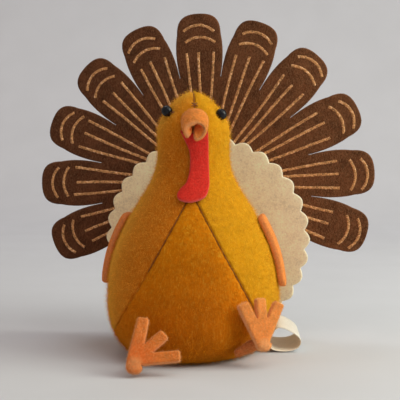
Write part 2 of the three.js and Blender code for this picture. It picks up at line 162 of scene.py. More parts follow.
def make_object(name: str, corners: Array, faces: list, material: bpy.types.Material) -> bpy.types.Object:
    """Adds a smooth-shaded mesh to the scene.

    Args:
        name: The piece's name.
        corners: Vertices in millimetres.
        faces: Vertex numbers of each face.
        material: The finish of every face.

    Returns:
        The new object, at the origin.
    """
    mesh = bpy.data.meshes.new(name)
    mesh.from_pydata((np.asarray(corners, float) * MM).tolist(), [], faces)
    mesh.update()
    mesh.shade_smooth()
    mesh.materials.append(material)
    piece = bpy.data.objects.new(name, mesh)
    bpy.context.scene.collection.objects.link(piece)
    return piece


def face_outwards(piece: bpy.types.Object) -> None:
    """Merges a closed mesh's doubles and turns its faces outwards.

    Args:
        piece: The piece.
    """
    work = bmesh.new()
    work.from_mesh(piece.data)
    bmesh.ops.remove_doubles(work, verts=work.verts, dist=0.002 * MM)
    bmesh.ops.recalc_face_normals(work, faces=work.faces)
    work.to_mesh(piece.data)
    work.free()
    piece.data.shade_smooth()


def grid_faces(rows: int, columns: int, wrap: bool = False) -> list[tuple[int, int, int, int]]:
    """Quads of a grid of points in rows.

    Args:
        rows: Number of rows.
        columns: Points in each row.
        wrap: Whether each row closes on itself.

    Returns:
        The quads' vertex numbers.
    """
    last = columns if wrap else columns - 1
    faces = []
    for row in range(rows - 1):
        for column in range(last):
            beside = (column + 1) % columns
            here, above = row * columns, (row + 1) * columns
            faces.append((here + column, here + beside, above + beside, above + column))
    return faces


def sheet_faces(rows: int, columns: int) -> list[tuple[int, ...]]:
    """Faces of a closed sheet: a grid of points, the same grid behind it, and the rim between them.

    Args:
        rows: Number of rows in a grid.
        columns: Points in each row.

    Returns:
        The faces' vertex numbers.
    """
    front, half = grid_faces(rows, columns), rows * columns
    faces = front + [tuple(number + half for number in face[::-1]) for face in front]
    rim = list(range(columns)) + [row * columns + columns - 1 for row in range(1, rows)]
    rim += [(rows - 1) * columns + column for column in range(columns - 2, -1, -1)]
    rim += [row * columns for row in range(rows - 2, 0, -1)]
    for here, beside in zip(rim, rim[1:] + rim[:1]):
        faces.append((beside, here, here + half, beside + half))
    return faces


def line_mesh(name: str, lines: list[Array]) -> bpy.types.Mesh:
    """A mesh of edges along lines of points in millimetres.

    Args:
        name: Name of the mesh.
        lines: Rows of points.

    Returns:
        The mesh.
    """
    mesh = bpy.data.meshes.new(name)
    edges, start = [], 0
    for line in lines:
        edges += [(start + i, start + i + 1) for i in range(len(line) - 1)]
        start += len(line)
    mesh.from_pydata((np.vstack(lines) * MM).tolist(), edges, [])
    return mesh


class Graph:
    """A node tree that is filled from Python."""

    def __init__(self, tree: bpy.types.NodeTree) -> None:
        """Keeps the tree to fill."""
        self.tree = tree

    def node(
        self,
        kind: str,
        settings: dict[str, Any] | None = None,
        inputs: dict[int | str, Any] | None = None,
        output: int | str = 0,
    ) -> "Signal":
        """Adds a node.

        Args:
            kind: Blender's name for the node's type.
            settings: Properties to set first; "stops" fills a ramp.
            inputs: Values or signals for sockets, by name or number.
            output: The socket that the result stands for.

        Returns:
            The chosen output.
        """
        made = self.tree.nodes.new(kind)
        for key, value in (settings or {}).items():
            if key == "stops":
                self.fill_ramp(made.color_ramp, value)
            else:
                setattr(made, key, value)
        for key, value in (inputs or {}).items():
            if isinstance(value, Signal):
                self.tree.links.new(value.socket, made.inputs[key])
            else:
                made.inputs[key].default_value = value
        return Signal(self, made.outputs[output] if len(made.outputs) else None, made)

    @staticmethod
    def fill_ramp(ramp: bpy.types.ColorRamp, stops: list[tuple[float, Colour]]) -> None:
        """Sets a ramp's stops, each a place and a colour.

        Args:
            ramp: The ramp.
            stops: Its stops.
        """
        while len(ramp.elements) < len(stops):
            ramp.elements.new(1.0)
        for element, (place, colour) in zip(ramp.elements, stops):
            element.position = place
            element.color = (*colour, 1.0)


@dataclass
class Signal:
    """A socket that takes part in Python expressions."""

    graph: Graph
    socket: Any
    made: Any

    def other(self, output: int | str) -> "Signal":
        """Another output of the same node."""
        return Signal(self.graph, self.made.outputs[output], self.made)

    def math(self, operation: str, first: Any, second: Any) -> "Signal":
        """Adds one Math node."""
        return self.graph.node("ShaderNodeMath", {"operation": operation}, {0: first, 1: second})

    def __add__(self, value: Any) -> "Signal":
        """Sum."""
        return self.math("ADD", self, value)

    def __radd__(self, value: Any) -> "Signal":
        """Sum from the right."""
        return self.math("ADD", value, self)

    def __sub__(self, value: Any) -> "Signal":
        """Difference."""
        return self.math("SUBTRACT", self, value)

    def __rsub__(self, value: Any) -> "Signal":
        """Difference from the right."""
        return self.math("SUBTRACT", value, self)

    def __mul__(self, value: Any) -> "Signal":
        """Product."""
        return self.math("MULTIPLY", self, value)

    def __rmul__(self, value: Any) -> "Signal":
        """Product from the right."""
        return self.math("MULTIPLY", value, self)

    def highest(self, value: Any) -> "Signal":
        """The larger of two values."""
        return self.math("MAXIMUM", self, value)

    def above(self, value: Any) -> "Signal":
        """One where this is larger, else zero."""
        return self.math("GREATER_THAN", self, value)


class Shader(Graph):
    """A material with one principled surface, filled from Python."""

    def __init__(self, name: str) -> None:
        """Makes an empty material of that name.

        Args:
            name: Name of the material.
        """
        self.material = bpy.data.materials.new(name)
        self.material.use_nodes = True
        super().__init__(self.material.node_tree)
        self.tree.nodes.clear()

    def places(self) -> Signal:
        """Object coordinates, in metres."""
        return self.node("ShaderNodeTexCoord", output="Object")

    def stretched(self, scale: tuple[float, float, float], turn: tuple[float, float, float]) -> Signal:
        """Object coordinates that are turned and stretched, for streaks.

        Args:
            scale: Stretch along each axis.
            turn: Turn about each axis in degrees.

        Returns:
            The changed coordinates.
        """
        angle = tuple(math.radians(value) for value in turn)
        return self.node(
            "ShaderNodeMapping", {}, {"Vector": self.places(), "Rotation": angle, "Scale": scale}
        )

    def cloud(self, where: Signal, scale: float, detail: float = 2.0, warp: float = 0.0) -> Signal:
        """Noise from 0 to 1."""
        values = {"Vector": where, "Scale": scale, "Detail": detail, "Roughness": 0.6, "Distortion": warp}
        return self.node("ShaderNodeTexNoise", {}, values)

    def ramp(self, value: Signal, stops: list[tuple[float, Colour]]) -> Signal:
        """Colours along a value."""
        return self.node("ShaderNodeValToRGB", {"stops": stops}, {"Fac": value})

    def mixed(self, share: Any, first: Any, second: Any, way: str = "MIX") -> Signal:
        """Mixes two colours.

        Args:
            share: Share of the second colour.
            first: First colour or signal.
            second: Second colour or signal.
            way: Blender's name for how they mix.

        Returns:
            The mixed colour.
        """
        return self.node(
            "ShaderNodeMix", {"data_type": "RGBA", "blend_type": way}, {0: share, 6: first, 7: second}, 2
        )

    def bump(self, height: Signal, strength: float, distance: float) -> Signal:
        """Surface normals from a height."""
        return self.node("ShaderNodeBump", {}, {"Height": height, "Strength": strength, "Distance": distance})

    def surface(self, **values: Any) -> bpy.types.Material:
        """Ends the material in a principled shader.

        Args:
            values: Values or signals by socket, with underscores for spaces.

        Returns:
            The finished material.
        """
        inputs = {key.replace("_", " "): value for key, value in values.items()}
        shader = self.node("ShaderNodeBsdfPrincipled", {}, inputs)
        self.node("ShaderNodeOutputMaterial", {}, {"Surface": shader})
        return self.material


def rgba(colour: Colour) -> tuple[float, float, float, float]:
    """A colour with full alpha."""
    return (*colour, 1.0)


def tinted(colour: Colour, share: float) -> Colour:
    """A colour made darker or lighter by a factor."""
    return tuple(min(1.0, channel * share) for channel in colour)


@dataclass(frozen=True)
class FeltFinish:
    """Pressed wool felt: cloudy colour, tangled fibres, a soft sheen, painted highlights on cut edges, painted
    glow and shade where marked, and painted light and shade by height and towards the right.
    """

    name: str
    colour: Colour
    fleck: Colour
    cloud_size: float = 11.0
    pill_size: float = 2.0
    contrast: float = 0.13
    depth: float = 0.35
    sheen: float = 0.15
    strand: float = 4.2
    # Share of painted highlight along the cut edges.
    rim: float = 0.55
    loose: float = 0.5
    # Painted light and shade: multipliers that darken or lighten the felt below a height, towards +X, and
    # further towards +X at a far edge, in place of the lamps' shading.
    low: Colour = PLAIN
    painted_shade_top: tuple[float, float] = (20.0, 70.0)
    side: Colour = PLAIN
    painted_side_span: tuple[float, float] = (-23.0, 10.0)
    corner: Colour = PLAIN
    painted_corner_span: tuple[float, float] = (15.0, 27.0)

    def material(self) -> bpy.types.Material:
        """The felt as a material.

        Returns:
            A new material.
        """
        shader = Shader(self.name)
        where = shader.places()
        clouds = shader.cloud(where, 1.0 / (self.cloud_size * MM), 3.0)
        pills = shader.cloud(where, 1.0 / (self.pill_size * MM), 3.0, 0.6)
        long, fine = 1.0 / (self.strand * MM), 7.0 / (self.strand * MM)
        along = shader.cloud(shader.stretched((fine, fine, long), (24.0, 31.0, 0.0)), 1.0, 2.0, 1.1)
        across = shader.cloud(shader.stretched((fine, fine, long), (-34.0, -48.0, 40.0)), 1.0, 2.0, 1.1)
        fibres = along.highest(across)
        tone = clouds * 0.4 + pills * 0.6
        dark, light = tinted(self.colour, 1.0 - self.contrast), tinted(self.colour, 1.0 + self.contrast)
        ground = shader.ramp(tone, [(0.36, dark), (0.5, self.colour), (0.66, light)])
        strands = shader.ramp(fibres, [(0.54, (0.0, 0.0, 0.0)), (0.74, PLAIN)])
        felt = shader.mixed(strands * self.loose, ground, rgba(self.fleck))
        # Painted light and shade, laid on by height and by X.
        painted_tints = [("Z", self.painted_shade_top, (self.low, PLAIN)), ("X", self.painted_side_span, (PLAIN, self.side))]
        painted_tints.append(("X", self.painted_corner_span, (PLAIN, self.corner)))
        for axis, span, ends in painted_tints:
            level = shader.node("ShaderNodeSeparateXYZ", {}, {"Vector": where}, axis)
            share = level * (1.0 / ((span[1] - span[0]) * MM)) - span[0] / (span[1] - span[0])
            painted_tint = shader.ramp(share, [(0.0, ends[0]), (1.0, ends[1])])
            felt = shader.mixed(1.0, felt, painted_tint, "MULTIPLY")
        # Painted highlight along cut edges, where the rim attribute is high.
        cut = shader.node("ShaderNodeAttribute", {"attribute_name": "rim"}, output="Fac")
        pale = tuple(0.78 * channel + 0.22 for channel in self.fleck)
        felt = shader.mixed(cut * self.rim, felt, rgba(pale))
        # Painted glow and shade: a deeper red where the marking attribute is set, inside the beak and in the
        # middle of a foot.
        glow_and_shade = shader.node("ShaderNodeAttribute", {"attribute_name": "glow_and_shade"}, output="Fac")
        red, green, blue = self.colour
        colour = shader.mixed(glow_and_shade * 0.95, felt, rgba((1.3 * red, 0.55 * green, 0.5 * blue)))
        height = pills * 0.55 + fibres * 0.45
        return shader.surface(
            Base_Color=colour,
            Roughness=0.94,
            Normal=shader.bump(height, self.depth, 0.6 * MM),
            Sheen_Weight=self.sheen,
            Sheen_Roughness=0.45,
            Sheen_Tint=rgba(tinted(self.fleck, 1.3)),
            Specular_IOR_Level=0.04,
        )


@dataclass(frozen=True)
class NapFinish:
    """Loose fibre ends that stand off the felt."""

    name: str
    colour: Colour

    def material(self) -> bpy.types.Material:
        """The fibres as a material.

        Returns:
            A new material.
        """
        shader = Shader(self.name)
        clouds = shader.cloud(shader.places(), 420.0, 1.0)
        stops = [(0.3, tinted(self.colour, 0.75)), (0.7, tinted(self.colour, 1.25))]
        return shader.surface(
            Base_Color=shader.ramp(clouds, stops), Roughness=0.9, Specular_IOR_Level=0.04
        )


@dataclass(frozen=True)
class CopperFinish:
    """Copper glitter rubbed into the felt in lines."""

    name: str = "copper_glitter"
    colour: Colour = (0.6, 0.28, 0.1)

    def material(self) -> bpy.types.Material:
        """The glitter as a material.

        Returns:
            A new material.
        """
        shader = Shader(self.name)
        where = shader.places()
        specks = shader.cloud(where, 1500.0, 2.0)
        worn = shader.cloud(where, 700.0, 2.0)
        stops = [
            (0.36, tinted(self.colour, 0.3)),
            (0.47, tinted(self.colour, 0.8)),
            (0.55, tinted(self.colour, 1.25)),
            (0.65, (1.0, 0.7, 0.42)),
        ]
        colour = shader.ramp(specks * 0.6 + worn * 0.4, stops)
        shine = shader.ramp(specks, [(0.45, (0.15, 0.15, 0.15)), (0.65, (0.65, 0.65, 0.65))])
        rough = 0.75 - 0.4 * specks
        return shader.surface(
            Base_Color=colour, Metallic=shine, Roughness=rough, Normal=shader.bump(specks, 0.6, 0.3 * MM)
        )


@dataclass(frozen=True)
class BeadFinish:
    """Polished black bead with faint handling marks."""

    name: str = "black_bead"
    colour: Colour = (0.006, 0.006, 0.008)

    def material(self) -> bpy.types.Material:
        """The bead as a material.

        Returns:
            A new material.
        """
        shader = Shader(self.name)
        marks = shader.cloud(shader.places(), 1500.0, 3.0)
        stops = [(0.4, self.colour), (0.75, tinted(self.colour, 2.2))]
        return shader.surface(
            Base_Color=shader.ramp(marks, stops), Roughness=0.03 + 0.05 * marks, Specular_IOR_Level=0.22
        )


@dataclass(frozen=True)
class RibbonFinish:
    """Satin ribbon: a fine weave that shows by its sheen."""

    name: str = "tag_ribbon"
    colour: Colour = (0.75, 0.7, 0.62)
    # Painted light: the inner face is coloured warmer and brighter, as light shining through the ribbon and
    # bounced into the loop.
    glowing_lining: Colour = (0.94, 0.83, 0.68)
    threads_per_mm: float = 3.2

    def material(self) -> bpy.types.Material:
        """The ribbon as a material that reads the ribbon's own flat coordinates.

        Returns:
            A new material.
        """
        shader = Shader(self.name)
        flat = shader.node("ShaderNodeTexCoord", output="UV")
        waves = []
        for direction in ("X", "Y"):
            settings = {"wave_type": "BANDS", "bands_direction": direction}
            values = {"Vector": flat, "Scale": self.threads_per_mm * 1000.0 / 6.0, "Distortion": 0.4}
            waves.append(shader.node("ShaderNodeTexWave", settings, values))
        weave = waves[0] * 0.5 + waves[1] * 0.5
        soil = shader.cloud(shader.places(), 160.0, 3.0)
        faces = []
        for colour in (self.colour, self.glowing_lining):
            stops = [(0.25, tinted(colour, 0.8)), (0.6, colour), (0.8, tinted(colour, 1.08))]
            faces.append(shader.ramp(weave * 0.4 + soil * 0.6, stops))
        # The inner face takes the lining colour, with its painted light.
        inside = shader.node("ShaderNodeSeparateXYZ", {}, {0: flat}).above(0.5)
        colour = shader.mixed(inside, *faces)
        return shader.surface(
            Base_Color=colour, Roughness=0.5, Normal=shader.bump(weave, 0.25, 0.15 * MM), Sheen_Weight=0.25
        )


@dataclass(frozen=True)
class ThreadFinish:
    """Spun sewing thread."""

    name: str
    colour: Colour

    def material(self) -> bpy.types.Material:
        """The thread as a material.

        Returns:
            A new material.
        """
        shader = Shader(self.name)
        twist = shader.cloud(shader.stretched((2400.0, 2400.0, 900.0), (35.0, 0.0, 20.0)), 1.0, 2.0)
        stops = [(0.3, tinted(self.colour, 0.6)), (0.7, tinted(self.colour, 1.3))]
        return shader.surface(
            Base_Color=shader.ramp(twist, stops), Roughness=0.7, Normal=shader.bump(twist, 0.4, 0.1 * MM)
        )


class Finishes:
    """Every finish of the figure, made once."""

    def __init__(self) -> None:
        """Makes the materials."""
        fine = {"cloud_size": 4.0, "pill_size": 0.9, "strand": 2.4}
        # Painted light and shade: lit and shaded copies of one body felt; the lit one for the right side and
        # base, the shaded one, more orange, for the left side, darker below the head and lighter at its far
        # left edge as painted rim light.
        self.mustard = FeltFinish(
            "mustard_felt", (0.555, 0.242, 0.005), (0.92, 0.6, 0.07), sheen=0.4, loose=0.22
        ).material()
        self.shaded_left_mustard = FeltFinish(
            "shaded_left_mustard_felt", (0.64, 0.243, 0.007), (0.95, 0.6, 0.09), sheen=0.8, strand=5.6, loose=0.34,
            low=(0.93, 0.7, 0.75), painted_shade_top=(98.0, 126.0), side=(0.83, 0.76, 0.8), painted_side_span=(-42.0, -28.0),
        ).material()
        # Painted light and shade: a more orange copy of the body felt for the breast, darker low down and
        # towards the right, and lighter again at its far right edge as painted bounced light.
        self.breast = FeltFinish(
            "shaded_breast_felt", (0.72, 0.24, 0.003), (1.0, 0.64, 0.05), strand=5.2, loose=0.5,
            low=(0.72, 0.56, 0.8), painted_shade_top=(26.0, 68.0), side=(0.78, 0.73, 0.8), corner=(1.35, 1.45, 1.2),
        ).material()
        # Painted light: the wing felt grows lighter towards the right.
        self.orange = FeltFinish(
            "orange_felt", (0.7, 0.195, 0.04), (0.86, 0.4, 0.14), contrast=0.24, depth=0.7, rim=0.2,
            side=(1.1, 1.22, 1.3), painted_side_span=(-40.0, 40.0), **fine,
        ).material()
        # Lit and shaded copies of one foot felt: the left darker and redder as painted shade, the right
        # lighter as painted light.
        self.feet = {
            Side.LEFT: FeltFinish(
                "shaded_left_foot_felt", (0.66, 0.18, 0.032), (0.88, 0.4, 0.13),
                contrast=0.28, depth=0.8, rim=0.45, **fine,
            ).material(),
            Side.RIGHT: FeltFinish(
                "lit_right_foot_felt", (0.78, 0.26, 0.058), (0.92, 0.5, 0.2),
                contrast=0.22, depth=0.8, rim=0.5, **fine,
            ).material(),
        }
        # Painted shade: a darker copy of the foot felt for the legs, which sit in the body's shadow.
        self.shaded = FeltFinish(
            "shaded_leg_felt", (0.52, 0.15, 0.04), (0.72, 0.31, 0.12), contrast=0.24, depth=0.7, **fine
        ).material()
        self.beak = FeltFinish(
            "beak_felt", (0.68, 0.205, 0.034), (0.9, 0.42, 0.13), contrast=0.3, depth=0.9, rim=0.3, **fine
        ).material()
        self.red = FeltFinish(
            "red_felt", (0.6, 0.025, 0.018), (0.82, 0.12, 0.08), cloud_size=5.0, pill_size=0.9,
            contrast=0.22, depth=0.6, strand=2.0,
        ).material()
        # Painted light: the fan's felt grows lighter towards the right.
        self.brown = FeltFinish(
            "brown_felt", (0.081, 0.0275, 0.0125), (0.42, 0.22, 0.12), cloud_size=7.0, pill_size=0.7,
            contrast=0.6, depth=0.6, sheen=0.1, strand=1.2, rim=0.1,
            side=(1.36, 1.4, 1.3), painted_side_span=(-40.0, 50.0),
        ).material()
        # Painted light and shade: the disc's felt grows darker towards the right, so its left part, which the
        # body shades, reads lighter.
        self.cream = FeltFinish(
            "cream_felt", (0.97, 0.81, 0.53), (0.98, 0.88, 0.68), cloud_size=9.0, pill_size=0.9,
            contrast=0.2, depth=0.45, strand=1.6, rim=0.7, side=(0.87, 0.9, 0.98), painted_side_span=(-45.0, 5.0),
        ).material()
        self.mustard_nap = NapFinish("mustard_nap", (0.84, 0.44, 0.03)).material()
        # Painted shade: a shaded copy of the body nap for the left side.
        self.left_nap = NapFinish("shaded_left_mustard_nap", (0.8, 0.4, 0.05)).material()
        # Painted shade: a darker copy of the body nap for the breast.
        self.breast_nap = NapFinish("breast_nap", (0.62, 0.22, 0.006)).material()
        self.orange_nap = NapFinish("orange_nap", (0.88, 0.43, 0.18)).material()
        self.red_nap = NapFinish("red_nap", (0.74, 0.09, 0.065)).material()
        self.brown_nap = NapFinish("brown_nap", (0.18, 0.075, 0.034)).material()
        self.cream_nap = NapFinish("cream_nap", (0.84, 0.7, 0.5)).material()
        self.copper = CopperFinish().material()
        self.bead = BeadFinish().material()
        self.ribbon = RibbonFinish().material()
        self.seam_thread = ThreadFinish("seam_thread", (0.2, 0.055, 0.006)).material()
        self.stuffing = ThreadFinish("fibrefill", (0.8, 0.79, 0.75)).material()


def evaluated_mesh(piece: bpy.types.Object, name: str) -> bpy.types.Mesh:
    """The mesh that a piece's modifiers give.

    Args:
        piece: The object with its modifiers.
        name: Name of the new mesh.

    Returns:
        A plain mesh.
    """
    bpy.context.view_layer.update()
    graph = bpy.context.evaluated_depsgraph_get()
    mesh = bpy.data.meshes.new_from_object(piece.evaluated_get(graph), depsgraph=graph)
    mesh.name = name
    return mesh


class NodeTool:
    """A geometry node tree with named inputs that is run on a mesh and leaves a plain mesh."""

    def __init__(self, name: str, numbers: tuple[str, ...], counts: tuple[str, ...] = ()) -> None:
        """Makes a tree with a geometry input and output, a material input and the given further inputs.

        Args:
            name: Name of the tree.
            numbers: Names of the inputs that take any number.
            counts: Names of the inputs that take a whole number.
        """
        self.tree = bpy.data.node_groups.new(name, "GeometryNodeTree")
        face = self.tree.interface
        face.new_socket(name="Geometry", in_out="INPUT", socket_type="NodeSocketGeometry")
        face.new_socket(name="Geometry", in_out="OUTPUT", socket_type="NodeSocketGeometry")
        self.identifiers = {}
        kinds = dict.fromkeys(numbers, "NodeSocketFloat") | dict.fromkeys(counts, "NodeSocketInt")
        kinds["Material"] = "NodeSocketMaterial"
        for label, kind in kinds.items():
            made = face.new_socket(name=label, in_out="INPUT", socket_type=kind)
            self.identifiers[label] = made.identifier
        self.graph = Graph(self.tree)
        self.entry = self.graph.node("NodeGroupInput")

    def value(self, label: str) -> Signal:
        """One of the tree's inputs."""
        return self.entry.other(label)

    def close(self, result: Signal) -> None:
        """Ends the tree in realised geometry with its material.

        Args:
            result: The geometry.
        """
        whole = self.graph.node("GeometryNodeRealizeInstances", {}, {0: result})
        coating = {"Geometry": whole, "Material": self.value("Material")}
        coated = self.graph.node("GeometryNodeSetMaterial", {}, coating)
        self.graph.node("NodeGroupOutput", {}, {0: coated})

    def run(self, mesh: bpy.types.Mesh, name: str, values: dict[str, Any]) -> bpy.types.Object:
        """Runs the tree on a mesh.

        Args:
            mesh: The mesh that the tree starts from.
            name: Name of the new piece.
            values: The inputs' values by name.

        Returns:
            The new piece, without modifiers.
        """
        start = bpy.data.objects.new(name + "_start", mesh)
        bpy.context.scene.collection.objects.link(start)
        modifier = start.modifiers.new(self.tree.name, "NODES")
        modifier.node_group = self.tree
        for label, value in values.items():
            modifier[self.identifiers[label]] = value
        made = evaluated_mesh(start, name)
        bpy.data.objects.remove(start)
        piece = bpy.data.objects.new(name, made)
        bpy.context.scene.collection.objects.link(piece)
        return piece


class NapTool(NodeTool):
    """Short leaning fibres all over a felt piece."""

    def __init__(self) -> None:
        """Builds the tree."""
        super().__init__("felt_nap", ("Density", "Length", "Thickness", "Lean"), ("Seed",))
        graph = self.graph
        seed = self.value("Seed")
        points = graph.node(
            "GeometryNodeDistributePointsOnFaces",
            {"distribute_method": "RANDOM"},
            {"Mesh": self.entry, "Density": self.value("Density"), "Seed": seed},
        )
        fibre = graph.node(
            "GeometryNodeMeshCone",
            {"fill_type": "NONE"},
            {
                "Vertices": 3,
                "Radius Top": 0.0,
                "Radius Bottom": self.value("Thickness"),
                "Depth": self.value("Length"),
            },
        )
        lean = self.value("Lean")
        spread = {2: 0.45, 3: 1.25, "Seed": seed}
        sizes = graph.node("FunctionNodeRandomValue", {"data_type": "FLOAT"}, spread, 1)
        tips = graph.node(
            "GeometryNodeInstanceOnPoints",
            {},
            {"Points": points, "Instance": fibre, "Rotation": points.other("Rotation"), "Scale": sizes},
        )
        turns = []
        for axis in range(2):
            values = {2: lean * -1.0, 3: lean, "Seed": seed + 3 + axis}
            turns.append(graph.node("FunctionNodeRandomValue", {"data_type": "FLOAT"}, values, 1))
        turn = graph.node("ShaderNodeCombineXYZ", {}, {0: turns[0], 1: turns[1]})
        leaning = graph.node("GeometryNodeRotateInstances", {}, {"Instances": tips, "Rotation": turn})
        self.close(leaning)


class StripeTool(NodeTool):
    """Ragged raised lines along edges that lie in a plane across Y."""

    def __init__(self) -> None:
        """Builds the tree."""
        super().__init__("copper_stripes", ("Width", "Flatness", "Plane", "Ragged"))
        graph = self.graph
        line = graph.node("GeometryNodeMeshToCurve", {}, {"Mesh": self.entry})
        spacing = {"Curve": line, "Length": 0.45 * MM}
        even = graph.node("GeometryNodeResampleCurve", {"mode": "LENGTH"}, spacing)
        section = {"Resolution": 8, "Radius": self.value("Width") * 0.5}
        ring = graph.node("GeometryNodeCurvePrimitiveCircle", {}, section)
        swept = {"Curve": even, "Profile Curve": ring, "Fill Caps": True}
        tube = graph.node("GeometryNodeCurveToMesh", {}, swept)
        place = graph.node("GeometryNodeInputPosition")
        parts = graph.node("ShaderNodeSeparateXYZ", {}, {0: place})
        grain = {"Vector": place, "Scale": 1300.0, "Detail": 2.0}
        rough = graph.node("ShaderNodeTexNoise", {}, grain, "Color")
        jitter = graph.node("ShaderNodeSeparateXYZ", {}, {0: rough})
        plane, ragged = self.value("Plane"), self.value("Ragged")
        across = parts + (jitter - 0.5) * ragged
        up = parts.other("Z") + (jitter.other("Z") - 0.5) * ragged
        depth = plane + (parts.other("Y") - plane) * self.value("Flatness")
        moved = graph.node("ShaderNodeCombineXYZ", {}, {0: across, 1: depth, 2: up})
        pressed = graph.node("GeometryNodeSetPosition", {}, {"Geometry": tube, "Position": moved})
        self.close(pressed)


class StitchTool(NodeTool):
    """Short thread stitches along edges."""

    def __init__(self) -> None:
        """Builds the tree."""
        super().__init__("seam_stitches", ("Pitch", "Length", "Thickness"))
        graph = self.graph
        line = graph.node("GeometryNodeMeshToCurve", {}, {"Mesh": self.entry})
        spacing = {"Curve": line, "Length": self.value("Pitch")}
        even = graph.node("GeometryNodeResampleCurve", {"mode": "LENGTH"}, spacing)
        thread = graph.node(
            "GeometryNodeMeshCylinder",
            {"fill_type": "TRIANGLE_FAN"},
            {"Vertices": 6, "Radius": self.value("Thickness"), "Depth": self.value("Length")},
        )
        tangent = graph.node("GeometryNodeInputTangent")
        turn = graph.node("FunctionNodeAlignRotationToVector", {"axis": "Z"}, {"Vector": tangent})
        sewn = graph.node(
            "GeometryNodeInstanceOnPoints", {}, {"Points": even, "Instance": thread, "Rotation": turn}
        )
        self.close(sewn)


@dataclass(frozen=True)
class Nap:
    """How thick and long a felt's loose fibres stand."""

    per_mm2: float
    length: float
    thickness: float = 0.045
    lean: float = 1.25

    def grow(
        self, tool: NapTool, felt: bpy.types.Object, material: bpy.types.Material, seed: int
    ) -> bpy.types.Object:
        """Grows the fibres on a felt piece.

        Args:
            tool: The tree that places fibres.
            felt: The piece to cover.
            material: The fibres' finish.
            seed: Seed of their places.

        Returns:
            The fibres as one piece.
        """
        density = self.per_mm2 * 1e6 * 1.0
        values = {
            "Density": density,
            "Length": self.length * MM,
            "Thickness": self.thickness * MM,
            "Lean": self.lean,
            "Seed": seed,
            "Material": material,
        }
        return tool.run(felt.data, felt.name + "_nap", values)


class Workshop:
    """The finishes and node tools that every sub-assembly shares."""

    def __init__(self) -> None:
        """Makes the finishes and the tools."""
        self.finishes = Finishes()
        self.naps = NapTool()
        self.stripes = StripeTool()
        self.stitches = StitchTool()

    def settle(self, piece: bpy.types.Object, body: str, slot: str, *nodes: str) -> bpy.types.Object:
        """Ties a finished piece to the frame.

        Args:
            piece: The finished piece.
            body: The body it moves with.
            slot: Not used; the record's material slot.
            nodes: The CAD nodes that it stands for.

        Returns:
            The same piece.
        """
        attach(piece, body)
        if nodes:
            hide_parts(*nodes)
        LOG.info("%s: %d faces on %s", piece.name, len(piece.data.polygons), body)
        return piece


